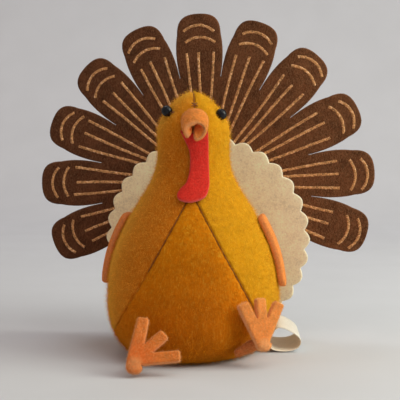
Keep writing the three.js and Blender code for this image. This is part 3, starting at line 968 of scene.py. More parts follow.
@dataclass
class CutFelt:
    """Felt cut to an outline, with soft rims, laid or bent into its place."""

    outline: Array
    thickness: float
    roundness: float = 1.0
    edge_step: float = 0.7
    inner_step: float = 1.8

    def rims(self) -> list[tuple[float, float]]:
        """The rim's section, from its middle to the face."""
        section = [(0.0, 0.0), (0.05, 0.45), (0.2, 0.76), (0.48, 0.94), (0.9, 1.0)]
        return [(inset * self.roundness, share) for inset, share in section]

    def area(self) -> float:
        """Flat area of the cut in square metres."""
        return abs(loop_area(self.outline)) * MM * MM

    def flat_size(self) -> tuple[float, float]:
        """Width and length of the cut in metres."""
        across, up = np.ptp(self.outline, axis=0) * MM
        return (float(across), float(up))

    def rings(self) -> tuple[list[Array], list[float]]:
        """The outline drawn in step by step.

        Returns:
            The rings and the height share of each.
        """
        ring = even_loop(self.outline, self.edge_step)
        if loop_area(ring) < 0:
            ring = ring[::-1]
        run = np.roll(ring, -1, axis=0) - np.roll(ring, 1, axis=0)
        run /= np.linalg.norm(run, axis=1, keepdims=True)
        inward = np.stack([-run[:, 1], run[:, 0]], axis=1)
        insets = self.rims()
        return [ring + inward * inset for inset, _ in insets], [share for _, share in insets]

    def inner_points(self, border: Array) -> Array:
        """Points spread evenly inside a border, clear of it.

        Args:
            border: The innermost ring.

        Returns:
            The points.
        """
        low, high = border.min(axis=0), border.max(axis=0)
        step = self.inner_step
        across = np.arange(low[0], high[0], step)
        up = np.arange(low[1], high[1], step * 0.866)
        grid_x, grid_y = np.meshgrid(across, up)
        grid_x = grid_x + (np.arange(len(up)) % 2)[:, None] * step / 2
        points = np.stack([grid_x.ravel(), grid_y.ravel()], axis=1)
        inside = np.zeros(len(points), bool)
        far = np.full(len(points), np.inf)
        for start, end in zip(border, np.roll(border, -1, axis=0)):
            crosses = (start[1] > points[:, 1]) != (end[1] > points[:, 1])
            if crosses.any():
                at = (points[:, 1] - start[1]) / (end[1] - start[1])
                inside ^= crosses & (points[:, 0] < start[0] + at * (end[0] - start[0]))
            far = np.minimum(far, np.hypot(points[:, 0] - start[0], points[:, 1] - start[1]))
        return points[inside & (far > 0.6 * step)]

    def build(self, name: str, placing: Placing, material: bpy.types.Material) -> bpy.types.Object:
        """Makes the felt as a closed mesh.

        Args:
            name: The piece's name.
            placing: Takes flat places and heights over the middle, and gives places in the figure.
            material: The felt's finish.

        Returns:
            The new piece.
        """
        rings, shares = self.rings()
        count = len(rings[0])
        border = rings[-1]
        flat = [Vector(point) for point in np.vstack([border, self.inner_points(border)])]
        loop = [(i, (i + 1) % count) for i in range(count)]
        found, _, triangles, origins, _, _ = delaunay_2d_cdt(flat, loop, [list(range(count))], 1, 1e-4)
        sheets, faces = [rings[0]], []
        heights = [np.zeros(count)]
        total = count
        for side in (1.0, -1.0):
            below = 0
            for ring, share in zip(rings[1:], shares[1:]):
                sheets.append(ring)
                heights.append(np.full(count, side * share * self.thickness / 2))
                for i in range(count):
                    beside = (i + 1) % count
                    faces.append((below + i, below + beside, total + beside, total + i))
                below = total
                total += count
            numbers = []
            extra = []
            for place, origin in zip(found, origins):
                on_border = [number for number in origin if number < count]
                if on_border:
                    numbers.append(below + on_border[0])
                else:
                    numbers.append(total + len(extra))
                    extra.append(tuple(place))
            if extra:
                sheets.append(np.array(extra))
                heights.append(np.full(len(extra), side * self.thickness / 2))
                total += len(extra)
            faces += [tuple(numbers[corner] for corner in triangle) for triangle in triangles]
        places = np.vstack(sheets)
        levels = np.concatenate(heights)
        corners = placing(places[:, 0], places[:, 1], levels)
        piece = make_object(name, corners, faces, material)
        # The rim attribute marks the cut edges for the painted highlight there.
        rim = piece.data.attributes.new("rim", "FLOAT", "POINT")
        rim.data.foreach_set("value", 1.0 - np.abs(levels) / (self.thickness / 2))
        face_outwards(piece)
        return piece


def bezier(points: list[tuple[float, float]], steps: int) -> Array:
    """Points along a cubic curve, without its last point.

    Args:
        points: Start, two handles and end.
        steps: Number of points.

    Returns:
        The points.
    """
    p0, p1, p2, p3 = (np.array(point, float) for point in points)
    at = np.linspace(0.0, 1.0, steps, endpoint=False)[:, None]
    back = 1.0 - at
    return back**3 * p0 + 3 * back**2 * at * p1 + 3 * back * at**2 * p2 + at**3 * p3


@dataclass
class PearOutline:
    """The stuffed body's outline, as radii and heights in millimetres."""

    base_radius: float = 27.0
    belly_radius: float = 42.4
    belly_height: float = 27.0
    neck_radius: float = 17.6
    neck_height: float = 97.0
    head_radius: float = 17.9
    head_height: float = 108.0
    crown_height: float = 127.3
    forward: float = 0.33
    forward_foot: float = -5.0
    forward_top: float = 45.0
    steps: int = 60

    def __post_init__(self) -> None:
        """Samples the outline with its outward normals."""
        rise = self.neck_height - self.belly_height
        brow = self.crown_height - self.head_height
        tuck = self.base_radius + 0.52 * (self.belly_radius - self.base_radius)
        belly = (self.belly_radius, self.belly_height)
        neck = (self.neck_radius, self.neck_height)
        head = (self.head_radius, self.head_height)
        crown = (0.0, self.crown_height)
        nape = self.head_height - self.neck_height
        curves = [
            [(self.base_radius, 0.0), (tuck, 0.055 * belly[1]), (belly[0], 0.45 * belly[1]), belly],
            [belly, (belly[0], belly[1] + 0.55 * rise), (neck[0], belly[1] + 0.7 * rise), neck],
            [neck, (neck[0], neck[1] + 0.4 * nape), (head[0], neck[1] + 0.6 * nape), head],
            [head, (head[0], head[1] + 0.24 * brow), (0.54 * head[0], crown[1]), crown],
        ]
        line = np.vstack([bezier(curve, self.steps) for curve in curves] + [np.array([crown])])
        self.radii, self.heights = line[:, 0], line[:, 1]
        run = np.gradient(line, axis=0)
        run /= np.linalg.norm(run, axis=1, keepdims=True)
        self.out, self.up = run[:, 1], -run[:, 0]
        lengths = np.linalg.norm(np.diff(line, axis=0), axis=1)
        self.along = np.concatenate([[0.0], np.cumsum(lengths)])

    def at_height(self, height: Array) -> tuple[Array, Array, Array]:
        """Radius and outward normal, given as its outward and upward shares, at heights."""
        return tuple(np.interp(height, self.heights, values) for values in (self.radii, self.out, self.up))

    def radius(self, height: float) -> float:
        """Radius at one height."""
        return float(np.interp(height, self.heights, self.radii))

    def around(self, angle: Array, height: Array, lift: Array) -> Array:
        """Places round the plain outline.

        Args:
            angle: Angle round the figure.
            height: Height on the outline.
            lift: Distance outside the outline.

        Returns:
            Places in millimetres.
        """
        radius, out, up = self.at_height(height)
        points = heading(angle) * (radius + lift * out)[..., None]
        points[..., 2] = height + lift * up
        return points

    def slump(self, height: Array) -> Array:
        """How far the stuffing pushes the belly forwards at heights, as a share of its depth."""
        return 1.0 + self.forward * (1.0 - smoothstep(height, self.forward_foot, self.forward_top))

    def along_from(self, low: float, high: float, count: int) -> Array:
        """Heights that are evenly spaced along the skin between two heights."""
        ends = np.interp([low, high], self.heights, self.along)
        return np.interp(np.linspace(ends[0], ends[1], count), self.along, self.heights)


@dataclass
class SewnBody:
    """The stuffed body: two side panels, a breast gusset and a base, sewn and turned."""

    shop: Workshop
    outline: PearOutline
    gusset_apex: float = 79.5
    gusset_turn: float = 6.5
    gusset_width: float = 58.5
    seam_foot: float = 11.0
    seam_end: float = 20.0
    matted_end: float = 44.0
    base_seam: float = 1.1
    felt: float = 2.0
    back_flat: float = 37.0
    head_turn: float = 11.0
    groove: float = 0.9
    seam_width: float = 0.55
    seam_hollow: tuple[float, float] = (0.15, 3.0)
    pucker: float = 0.2
    pucker_pitch: float = 5.2
    pucker_reach: float = 3.4
    lumps: tuple[tuple[float, float], ...] = ((0.32, 17.0), (0.12, 5.5))
    bead_dent: tuple[float, float] = (1.0, 3.0)
    gather_dent: tuple[float, float] = (0.8, 1.5)
    stitch_depth: float = 0.65
    filling_gap: float = 5.0
    gather: tuple[float, float] = (0.0, 120.6)
    nap: Nap = field(default_factory=lambda: Nap(1.8, 2.45, 0.05, 1.2))

    def gusset_angle(self, height: Array) -> Array:
        """Half of the gusset's angle round the body at heights, in degrees.

        Args:
            height: Heights in millimetres.

        Returns:
            The angles.
        """
        slope = self.gusset_width / 2 / (self.gusset_apex - self.outline.belly_height)
        level = np.clip(height, self.seam_foot, self.gusset_apex)
        half = (self.gusset_apex - level) * slope
        radius = self.outline.at_height(level)[0]
        return np.degrees(np.arcsin(np.clip(half / radius, 0.0, 1.0)))

    def turn(self, height: Array | float) -> Array:
        """How far the twisted neck turns the skin at heights, in degrees."""
        twist = smoothstep(height, self.gusset_apex, self.outline.head_height)
        return self.gusset_turn + (self.head_turn - self.gusset_turn) * twist

    def skin(self, angle: Array, height: Array, lift: Array) -> Array:
        """Places on the skin.

        Args:
            angle: Angle round the body, before the neck's twist.
            height: Height on the outline.
            lift: Distance outside the outline.

        Returns:
            Places in millimetres.
        """
        points = self.outline.around(angle + self.turn(height), height, lift)
        slumped = points[..., 1] * self.outline.slump(points[..., 2])
        points[..., 1] = np.where(points[..., 1] < 0.0, slumped, points[..., 1])
        points[..., 1] = np.minimum(points[..., 1], self.back_flat + np.minimum(lift, 0.0))
        return points

    def outside(self, angle: float, height: float, away: float) -> Array:
        """A place outside the plain skin.

        Args:
            angle: Angle round the body.
            height: Height on the outline.
            away: Distance from the skin.

        Returns:
            The place in millimetres.
        """
        angles = np.array([angle, angle + 1.0, angle - 1.0, angle, angle]) - self.turn(height)
        heights = np.array([height, height, height, height + 1.0, height - 1.0])
        spots = self.skin(angles, heights, np.zeros(5))
        normal = np.cross(spots[1] - spots[2], spots[3] - spots[4])
        return spots[0] + away * normal / np.linalg.norm(normal)

    def relief(self, points: Array, to_seam: Array, along: Array) -> Array:
        """How far stuffing, seams and puckers move the skin.

        Args:
            points: Places on the plain skin.
            to_seam: Distance to the nearest seam.
            along: Distance along that seam.

        Returns:
            Distance outside the outline, never much above it.
        """
        flat = points.reshape(-1, 3)
        lumps = sum(high * soft_noise(flat, wide, 1.0 + seed) for seed, (high, wide) in enumerate(self.lumps))
        sewn = self.groove * np.exp(-((to_seam / self.seam_width) ** 2))
        hollow, wide = self.seam_hollow
        sewn = sewn + hollow * np.exp(-((to_seam / wide) ** 2))
        uneven = soft_noise(flat, 12.0, 3.0).reshape(along.shape)
        ripples = self.pucker * np.sin(2 * math.pi * along / self.pucker_pitch + 2.0 * uneven)
        fading = np.exp(-((to_seam / self.pucker_reach) ** 2))
        return lumps.reshape(to_seam.shape) - 0.1 - sewn + ripples * fading

    def panel(
        self,
        name: str,
        angle: Array,
        height: Array,
        to_seam: Array,
        dents: Array,
        material: bpy.types.Material,
    ) -> bpy.types.Object:
        """Makes one felt panel as a closed sheet.

        Args:
            name: The panel's name.
            angle: Angle of each grid point.
            height: Height of each grid point.
            to_seam: Distance of each grid point to the nearest seam.
            dents: Places where the skin is pulled in, such as behind the beads.
            material: The panel's felt.

        Returns:
            The panel.
        """
        lift = self.relief(self.skin(angle, height, np.zeros_like(height)), to_seam, height)
        plain = self.skin(angle, height, lift)
        gather = self.skin(*(np.array([value]) for value in (*self.gather, 0.0)))[0]
        pulls = [(dent, *self.bead_dent) for dent in dents] + [(gather, *self.gather_dent)]
        for place, depth, wide in pulls:
            lift = lift - depth * np.exp(-((np.linalg.norm(plain - place, axis=-1) / wide) ** 2))
        outer = self.skin(angle, height, lift)
        inner = self.skin(angle, height, np.minimum(lift, 0.0) - self.felt)
        corners = np.vstack([outer.reshape(-1, 3), inner.reshape(-1, 3)])
        piece = make_object(name, corners, sheet_faces(*height.shape), material)
        face_outwards(piece)
        return piece

    def side_panel(self, side: Side, dents: Array) -> bpy.types.Object:
        """One side of the body, from the breast seam round to the back.

        Args:
            side: Which side.
            dents: Places where the beads pull in.

        Returns:
            The panel.
        """
        crown = self.outline.crown_height
        heights = self.outline.along_from(self.base_seam, crown, 150)
        front = np.where(heights < self.gusset_apex, self.gusset_angle(heights), 0.0)
        share = np.linspace(0.0, 1.0, 124)
        share = 0.28 * share + 0.72 * (1 - np.cos(math.pi * share)) / 2
        angle = front[:, None] + share[None, :] * (180.0 - front[:, None])
        height = np.repeat(heights[:, None], len(share), axis=1)
        radius = self.outline.at_height(height)[0]
        from_front = radius * np.sin(np.radians(np.clip(angle - front[:, None], 0.0, 90.0)))
        from_back = radius * np.sin(np.radians(np.clip(180.0 - angle, 0.0, 90.0)))
        steep = np.where(heights < self.gusset_apex, 0.87, 1.0)[:, None]
        to_seam = np.minimum(from_front * steep, from_back)
        finishes = self.shop.finishes
        # The left side takes the shaded copy of the body felt.
        felt = finishes.shaded_left_mustard if side is Side.LEFT else finishes.mustard
        return self.panel(f"{side.label}_side", side.value * angle, height, to_seam, dents, felt)

    def breast(self) -> bpy.types.Object:
        """The gusset in front.

        Returns:
            The panel.
        """
        heights = self.outline.along_from(self.base_seam, self.gusset_apex - 0.2, 110)
        reach = self.gusset_angle(heights)
        share = np.linspace(-1.0, 1.0, 101)
        share = 0.3 * share + 0.7 * np.sin(math.pi / 2 * share)
        angle = share[None, :] * reach[:, None]
        height = np.repeat(heights[:, None], len(share), axis=1)
        radius = self.outline.at_height(height)[0]
        to_seam = radius * np.radians(reach[:, None] - np.abs(angle)) * 0.87
        return self.panel("breast", angle, height, to_seam, [], self.shop.finishes.breast)

    def base(self) -> bpy.types.Object:
        """The flat round under the body, a little crowned up at its rim.

        Returns:
            The panel.
        """
        angles = np.linspace(0.0, 360.0, 120, endpoint=False)
        rim_heights = np.linspace(self.base_seam - 0.1, 0.05, 6)
        inset = np.full_like(angles, -0.2)
        rings = [self.skin(angles, np.full_like(angles, level), inset) for level in rim_heights]
        for share in (0.85, 0.6, 0.35, 0.12):
            ring = rings[5] * np.array([share, share, 1.0])
            ring[:, 2] = 0.1
            rings.append(ring)
        narrower, raised = np.array([0.97, 0.97, 1.0]), np.array([0.0, 0.0, self.felt])
        top = [ring * narrower + raised for ring in rings[::-1][:5]]
        stack = rings + top
        count = len(angles)
        faces = grid_faces(len(stack), count, wrap=True)
        middle_low, middle_high = len(rings) - 1, len(rings)
        corners = np.vstack(stack)
        faces = [face for face in faces if not middle_low * count <= face[0] < middle_high * count]
        faces.append(tuple(range(middle_low * count, middle_high * count)))
        faces.append(tuple(range(middle_high * count, (middle_high + 1) * count))[::-1])
        last = (len(stack) - 1) * count
        for i in range(count):
            beside = (i + 1) % count
            faces.append((last + i, last + beside, beside, i))
        piece = make_object("base_round", corners, faces, self.shop.finishes.mustard)
        face_outwards(piece)
        return piece

    def seam_lines(self) -> bpy.types.Mesh:
        """Edges along the bottom of the visible seams.

        Returns:
            The mesh.
        """
        crown = self.outline.along_from(self.gusset_apex, self.outline.crown_height - 0.05, 60)
        runs = []
        for side in Side:
            end = self.seam_end if side is Side.RIGHT else self.matted_end
            heights = self.outline.along_from(end, self.gusset_apex, 90)
            runs.append((side.value * self.gusset_angle(heights), heights))
        runs += [(np.full_like(crown, angle), crown) for angle in (0.0, 180.0)]
        lines = [self.skin(*run, np.full_like(run[1], -self.stitch_depth)) for run in runs]
        return line_mesh("seam_lines", lines)

    def gather_lines(self) -> bpy.types.Mesh:
        """The crossed ends of the thread that gathers the head over the beak.

        Returns:
            The mesh.
        """
        angle, height = self.gather
        ends = np.linspace(-0.5, 0.5, 8)
        lift = np.full_like(ends, 0.75)
        lines = [self.skin(angle + 11.0 * tilt * ends, height + 1.3 * ends, lift) for tilt in (-1.0, 1.0)]
        return line_mesh("gather_lines", lines)

    def filling(self, name: str, low: float, high: float, material: bpy.types.Material) -> bpy.types.Object:
        """A soft closed form inside the skin.

        Args:
            name: The piece's name.
            low: Its lowest height.
            high: Its highest height.
            material: Its finish.

        Returns:
            The piece.
        """
        heights = self.outline.along_from(low, high, 40)
        angles = np.linspace(0.0, 360.0, 60, endpoint=False)
        angle, height = np.meshgrid(angles, heights)
        points = self.skin(angle, height, np.zeros_like(height))
        lumps = soft_noise(points.reshape(-1, 3), 9.0, 6.0).reshape(height.shape)
        points = self.skin(angle, height, -self.filling_gap + 0.6 * lumps)
        faces = grid_faces(len(heights), len(angles), wrap=True)
        count = len(angles)
        faces.append(tuple(range(count))[::-1])
        faces.append(tuple(range((len(heights) - 1) * count, len(heights) * count)))
        piece = make_object(name, points.reshape(-1, 3), faces, material)
        face_outwards(piece)
        return piece

    def build(self, dents: Array) -> None:
        """Makes the body and ties it to the frame.

        Args:
            dents: Places where beads pull the skin in.
        """
        shop, finishes = self.shop, self.shop.finishes
        panels = [
            (self.side_panel(Side.LEFT, dents), "left_body_panel", finishes.left_nap),
            (self.side_panel(Side.RIGHT, dents), "right_body_panel", finishes.mustard_nap),
            (self.breast(), "breast_gusset", finishes.breast_nap),
            (self.base(), "base_panel", None),
        ]
        for seed, (piece, node, hair) in enumerate(panels):
            shop.settle(piece, FIGURE, "mustard_felt", node)
            if hair:
                shop.settle(self.nap.grow(shop.naps, piece, hair, seed), FIGURE, "mustard_felt")
        values = {"Pitch": 2.2 * MM, "Length": 2.0 * MM, "Thickness": 0.2 * MM}
        values["Material"] = finishes.seam_thread
        shop.settle(shop.stitches.run(self.seam_lines(), "seam_stitches", values), FIGURE, "thread")
        values |= {"Pitch": 0.5 * MM, "Length": 0.6 * MM, "Thickness": 0.26 * MM}
        shop.settle(shop.stitches.run(self.gather_lines(), "gather_stitch", values), FIGURE, "thread")
        stuffing = self.filling("fibrefill", 16.0, self.outline.crown_height - 7.0, finishes.stuffing)
        shop.settle(stuffing, FIGURE, "stuffing", "body_stuffing")
        pellets = self.filling("pellet_pouch", 5.5, 13.0, finishes.stuffing)
        shop.settle(pellets, FIGURE, "pellets", "pellet_bag")


@dataclass
class TailFan:
    """The stiff felt fan: feathers round a hub, cut apart, with copper lines on the front."""

    shop: Workshop
    radius: float = 89.0
    centre: float = 80.5
    turn: float = 2.45
    feathers: int = 11
    pitch: float = 22.0
    feather_width: float = 23.2
    shoulder: float = 11.0
    slit_radius: float = 56.5
    hub_radius: float = 50.0
    front: float = 39.6
    felt: float = 2.0
    stripe_width: float = 1.45
    stripe_inner: float = 24.0
    stripe_outer: float = 69.7
    stripe_offsets: tuple[float, ...] = (-6.6, 0.0, 7.9)
    bars: tuple[tuple[float, float, float], ...] = ((82.9, 16.2, 3.4), (76.6, 15.8, 2.85))
    edge_handles: tuple[tuple[float, float], ...] = ((63.0, 1.06), (71.0, 1.12))
    bar_slip: float = 2.4
    curl: float = 1.4
    nap: Nap = field(default_factory=lambda: Nap(1.0, 0.6, 0.04))

    def bearing(self, feather: int) -> float:
        """Angle of a feather's middle in radians."""
        return math.radians(90 + self.turn + (feather - (self.feathers - 1) / 2) * self.pitch)

    @staticmethod
    def at(bearing: float, out: float, across: float) -> tuple[float, float]:
        """A place on a feather, from its distance out and to the side."""
        cosine, sine = math.cos(bearing), math.sin(bearing)
        return (out * cosine - across * sine, out * sine + across * cosine)

    def outline(self) -> Array:
        """The fan's cut outline.

        Returns:
            Its corners about the fan's centre.
        """
        half = math.radians(self.pitch / 2)
        root = (self.slit_radius * math.cos(half), self.slit_radius * math.sin(half))
        side = self.feather_width / 2
        neck = self.radius - self.shoulder
        bulge, crest = neck + 0.75 * self.shoulder, 0.7 * side
        parts = []
        for feather in range(self.feathers):
            place = self.bearing(feather)
            bowed = [(out, share * side) for out, share in self.edge_handles]
            edge = [(root[0], root[1] - 0.12), *bowed, (neck, side)]
            rest = [(self.radius, 0.0), (self.radius, crest), (bulge, side), (neck, side)]
            for curve in (edge, rest[::-1]):
                parts.append(bezier([self.at(place, out, -across) for out, across in curve], 12))
            for curve in (rest, edge[::-1]):
                parts.append(bezier([self.at(place, *spot) for spot in curve], 12))
            parts.append(np.array([self.at(place, *edge[0])]))
        first = self.bearing(0) - half + 2 * math.pi
        last = self.bearing(self.feathers - 1) + half
        angles = np.linspace(last, first, 40)
        parts.append(self.hub_radius * np.stack([np.cos(angles), np.sin(angles)], axis=1))
        return np.vstack(parts)

    def bend(self, piece: bpy.types.Object) -> None:
        """Lets the feathers' ends curl a little backwards, each in its own way.

        Args:
            piece: The fan.
        """
        mesh = piece.data
        corners = np.zeros(len(mesh.vertices) * 3)
        mesh.vertices.foreach_get("co", corners)
        points = corners.reshape(-1, 3) / MM
        across, up = points[:, 0], points[:, 2] - self.centre
        out = np.hypot(across, up)
        spots = np.stack([across / 30.0, up / 30.0, np.full_like(out, 0.4)], axis=1)
        wave = 0.5 + 0.9 * soft_noise(spots, 1.0, 8.0)
        free = smoothstep(out, self.slit_radius - 4, self.radius)
        points[:, 1] += self.curl * np.clip(wave, 0.0, 1.0) * free
        mesh.vertices.foreach_set("co", (points * MM).ravel())
        mesh.update()

    def stripe_mesh(self) -> bpy.types.Mesh:
        """Edges along every copper line: three down each feather and two bars across its end.

        Returns:
            The mesh.
        """
        sway = np.random.default_rng(11)
        lines = []
        for feather in range(self.feathers):
            place = self.bearing(feather)
            for offset in self.stripe_offsets:
                end = self.stripe_outer + sway.uniform(-1.3, 1.3)
                side = -offset + sway.uniform(-0.5, 0.5)
                inner = side * self.stripe_inner / end
                out = np.linspace(self.stripe_inner, end, 24)
                drift = inner + (side - inner) * (out - self.stripe_inner) / (end - self.stripe_inner)
                drift = drift + 0.25 * np.sin(out / 9.0 + sway.uniform(0.0, 6.0))
                lines.append([self.at(place, *spot) for spot in zip(out, drift)])
            tilt = sway.uniform(-0.05, 0.05)
            slip = self.bar_slip * float(smoothstep(math.cos(place), 0.2, 0.7))
            for apex, chord, sagitta in self.bars:
                bow = (chord**2 / 4 + sagitta**2) / (2 * sagitta)
                reach = math.asin(chord / 2 / bow)
                shift = sway.uniform(-0.5, 0.5)
                angles = np.linspace(-reach, reach, 20) + tilt
                out = apex + slip - bow + bow * np.cos(angles)
                across = shift - 0.4 * slip + bow * np.sin(angles)
                lines.append([self.at(place, *spot) for spot in zip(out, across)])
        upright = [np.array([(x, self.front, self.centre + z) for x, z in line]) for line in lines]
        return line_mesh("copper_lines", upright)

    def build(self) -> None:
        """Makes the fan, its copper lines and its nap, and ties them to the frame."""
        shop, finishes = self.shop, self.shop.finishes
        cut = CutFelt(self.outline(), self.felt, inner_step=2.2)

        def placing(across: Array, up: Array, height: Array) -> Array:
            """Stands the flat cut upright, facing -Y."""
            return np.stack([across, self.front + self.felt / 2 - height, self.centre + up], axis=1)

        fan = cut.build("feather_fan", placing, finishes.brown)
        self.bend(fan)
        shop.settle(fan, FIGURE, "brown_felt", "tail_fan")
        cut.flat_size()
        cut.area()
        values = {
            "Width": self.stripe_width * MM,
            "Flatness": 0.22,
            "Plane": self.front * MM,
            "Ragged": 0.7 * MM,
            "Material": finishes.copper,
        }
        stripes = shop.stripes.run(self.stripe_mesh(), "copper_lines", values)
        self.bend(stripes)
        shop.settle(stripes, FIGURE, "copper_thread")
        shop.settle(self.nap.grow(shop.naps, fan, finishes.brown_nap, 21), FIGURE, "brown_felt")


@dataclass
class TailDisc:
    """The cream felt round with a scalloped edge between the body and the fan."""

    shop: Workshop
    radius: float = 54.2
    centre: float = 51.4
    shift: float = 1.5
    trim: float = 1.0
    scallops: int = 32
    depth: float = 2.6
    front: float = 37.3
    felt: float = 2.0
    nap: Nap = field(default_factory=lambda: Nap(1.2, 0.6, 0.04))

    def build(self) -> None:
        """Makes the disc and its nap, and ties them to the frame."""
        shop, finishes = self.shop, self.shop.finishes
        angle = np.linspace(0.0, 2 * math.pi, self.scallops * 16, endpoint=False)
        radius = self.radius - self.depth * (1 - np.abs(np.cos(angle * self.scallops / 2)))
        up = np.maximum(radius * np.sin(angle), self.trim - self.centre)
        cut = CutFelt(np.stack([radius * np.cos(angle), up], axis=1), self.felt, edge_step=0.6)

        def placing(across: Array, above: Array, height: Array) -> Array:
            """Stands the flat cut upright, facing -Y."""
            depth = self.front + self.felt / 2 - height
            return np.stack([across + self.shift, depth, self.centre + above], axis=1)

        disc = cut.build("scalloped_disc", placing, finishes.cream)
        shop.settle(disc, FIGURE, "cream_felt", "tail_disc")
        cut.flat_size()
        cut.area()
        shop.settle(self.nap.grow(shop.naps, disc, finishes.cream_nap, 22), FIGURE, "cream_felt")


@dataclass
class BeadEyes:
    """Two black beads that are threaded through the head."""

    shop: Workshop
    body: SewnBody
    diameter: float = 5.5
    height: float = 117.2
    spread: float = 60.0
    proud: float = 1.1
    slant: float = 3.3
    hole: float = 0.42

    def place(self, side: Side) -> Array:
        """Middle of a bead.

        Args:
            side: Which eye.

        Returns:
            The place in millimetres.
        """
        point = heading(side.value * self.spread) * (self.body.outline.radius(self.height) + self.proud)
        slant = math.radians(self.slant)
        spot = turned(point[0] * math.cos(slant), point[1], self.body.head_turn)
        return np.array([*spot, self.height - point[0] * math.sin(slant)])

    def places(self) -> Array:
        """The middles of both beads."""
        return np.array([self.place(side) for side in Side])

    def bead(self, side: Side) -> bpy.types.Object:
        """A bead turned round its thread, with a softened hole at both ends.

        Args:
            side: Which eye.

        Returns:
            The bead.
        """
        radius = self.diameter / 2
        start = math.asin(self.hole / radius)
        angles = np.linspace(start, math.pi - start, 25)
        rim = np.stack([radius * np.sin(angles), radius * np.cos(angles)], axis=1)
        depth = rim[0, 1] - 0.35
        mouth = self.hole * 0.8
        profile = np.vstack([[(0.0, depth), (mouth, depth)], rim, [(mouth, -depth), (0.0, -depth)]])
        turns = np.linspace(0.0, 2 * math.pi, 40, endpoint=False)
        first, last = self.places()
        along = (last - first) / np.linalg.norm(last - first)
        sideways = np.cross(along, [0.0, 0.0, 1.0])
        rows = []
        for out, level in profile:
            ring = np.outer(np.cos(turns) * out, sideways) + np.outer(np.sin(turns) * out, [0.0, 0.0, 1.0])
            rows.append(self.place(side) + ring + level * along)
        faces = grid_faces(len(profile), len(turns), wrap=True)
        piece = make_object(f"{side.label}_bead_eye", np.vstack(rows), faces, self.shop.finishes.bead)
        face_outwards(piece)
        return piece

    def build(self) -> None:
        """Makes the beads and ties them to the frame."""
        for side in Side:
            self.shop.settle(self.bead(side), FIGURE, "bead", f"{side.label}_eye")
        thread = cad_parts["eye_thread"]
        thread.data.materials.clear()
        thread.data.materials.append(self.shop.finishes.seam_thread)


@dataclass
class FoldedBeak:
    """The beak: felt wrapped into a drooping hood with its slit below."""

    shop: Workshop
    body: SewnBody
    height: float = 113.4
    length: float = 8.5
    width: float = 13.4
    rise: float = 12.0
    taper: float = 0.84
    droop: float = 4.4
    slit: float = 24.0
    mouth: float = 25.0
    slit_turn: float = 20.0
    sideways: float = -0.3
    lip: float = 1.2
    fill: float = 1.2
    right_fill: float = 1.6
    hood_drop: float = 0.5
    lobe_drop: float = 0.9
    felt: float = 3.2
    nap: Nap = field(default_factory=lambda: Nap(2.8, 0.8, 0.04))

    def painted_glow_and_shade(self, beak: bpy.types.Object) -> None:
        """Marks painted glow and shade inside the beak, where the felt is coloured a deeper red.

        Args:
            beak: The folded beak.
        """
        back = -self.body.head_turn
        skin = self.body.outline.radius(self.height)
        glow_and_shade = beak.data.attributes.new("glow_and_shade", "FLOAT", "POINT")
        for vertex in beak.data.vertices:
            place, normal = vertex.co / MM, vertex.normal
            across, out = turned(place.x, place.y, back)
            share = -out - skin
            middle = Vector((across, place.z - self.height + self.droop * max(0.0, share / self.length) ** 2))
            facing = Vector((turned(normal.x, normal.y, back)[0], normal.z))
            inside = float(smoothstep(-middle.dot(facing) / max(middle.length, 0.1), 0.1, 0.6))
            inside *= 0.3 + 0.7 * float(smoothstep(middle.y, -3.5, 0.5))
            behind = float(smoothstep(self.length - share, 0.0, 3.0))
            glow_and_shade.data[vertex.index].value = inside * behind

    def build(self) -> None:
        """Makes the beak and its nap, and ties them to the frame."""
        shop, finishes = self.shop, self.shop.finishes
        skin = self.body.outline.radius(self.height)
        root, tip = skin - self.felt, skin + self.length
        half_width, half_rise = (self.width - self.felt) / 2, (self.rise - self.felt) / 2
        wrap = math.radians(360.0 - self.slit)
        long = tip - root
        strip = wrap * (half_width + half_rise) / 2
        corners = [(-0.5, 0.0), (-0.25, 0.0), (0.0, 0.0), (0.25, 0.0), (0.5, 0.0), (0.5, 0.4), (0.497, 0.8)]
        corners += [(0.45, 0.97), (0.25, 1.0), (0.0, 1.0), (-0.25, 1.0), (-0.45, 0.97)]
        corners += [(-0.497, 0.8), (-0.5, 0.4)]
        outline = smooth_loop([(across * strip, out * long) for across, out in corners], 10)
        cut = CutFelt(outline, self.felt, edge_step=0.5, inner_step=0.8)

        def placing(across: Array, out: Array, height: Array) -> Array:
            """Wraps the flat cut round the beak's middle and turns it with the head.

            Args:
                across: Flat places across.
                out: Flat places forwards.
                height: Heights in the felt.

            Returns:
                Places in millimetres.
            """
            share = out / long
            gap = self.slit + (self.mouth - self.slit) * np.clip(share, 0.0, 1.0) ** 2
            open_share = np.radians(360.0 - gap)
            angle = math.radians(90.0 - self.slit_turn) + across / strip * open_share
            narrow = 1.0 + (self.taper - 1.0) * share
            front, deep = smoothstep(share, 0.35, 1.0), smoothstep(1.0 - share, 0.0, 0.45)
            right, top = smoothstep(np.cos(angle), -0.3, 0.6), smoothstep(np.sin(angle), -0.1, 0.8)
            filled = (self.fill + self.right_fill * right) * deep
            height = height + np.where(height < 0.0, self.lip * right * front - filled, 0.0)
            x = (half_width * narrow + height) * np.cos(angle) + self.sideways * share
            z = self.height - self.droop * share**2 + (half_rise * narrow + height) * np.sin(angle)
            lobes = smoothstep(np.abs(across) / strip, 0.3, 0.5)
            z = z - self.hood_drop * front * top - self.lobe_drop * front * lobes
            return np.stack([*turned(x, -(root + out), self.body.head_turn), z], axis=1)

        beak = cut.build("folded_beak", placing, finishes.beak)
        # Painted glow and shade inside the beak.
        self.painted_glow_and_shade(beak)
        shop.settle(beak, FIGURE, "orange_felt", "beak")
        cut.flat_size()
        cut.area()
        shop.settle(self.nap.grow(shop.naps, beak, finishes.orange_nap, 23), FIGURE, "orange_felt")


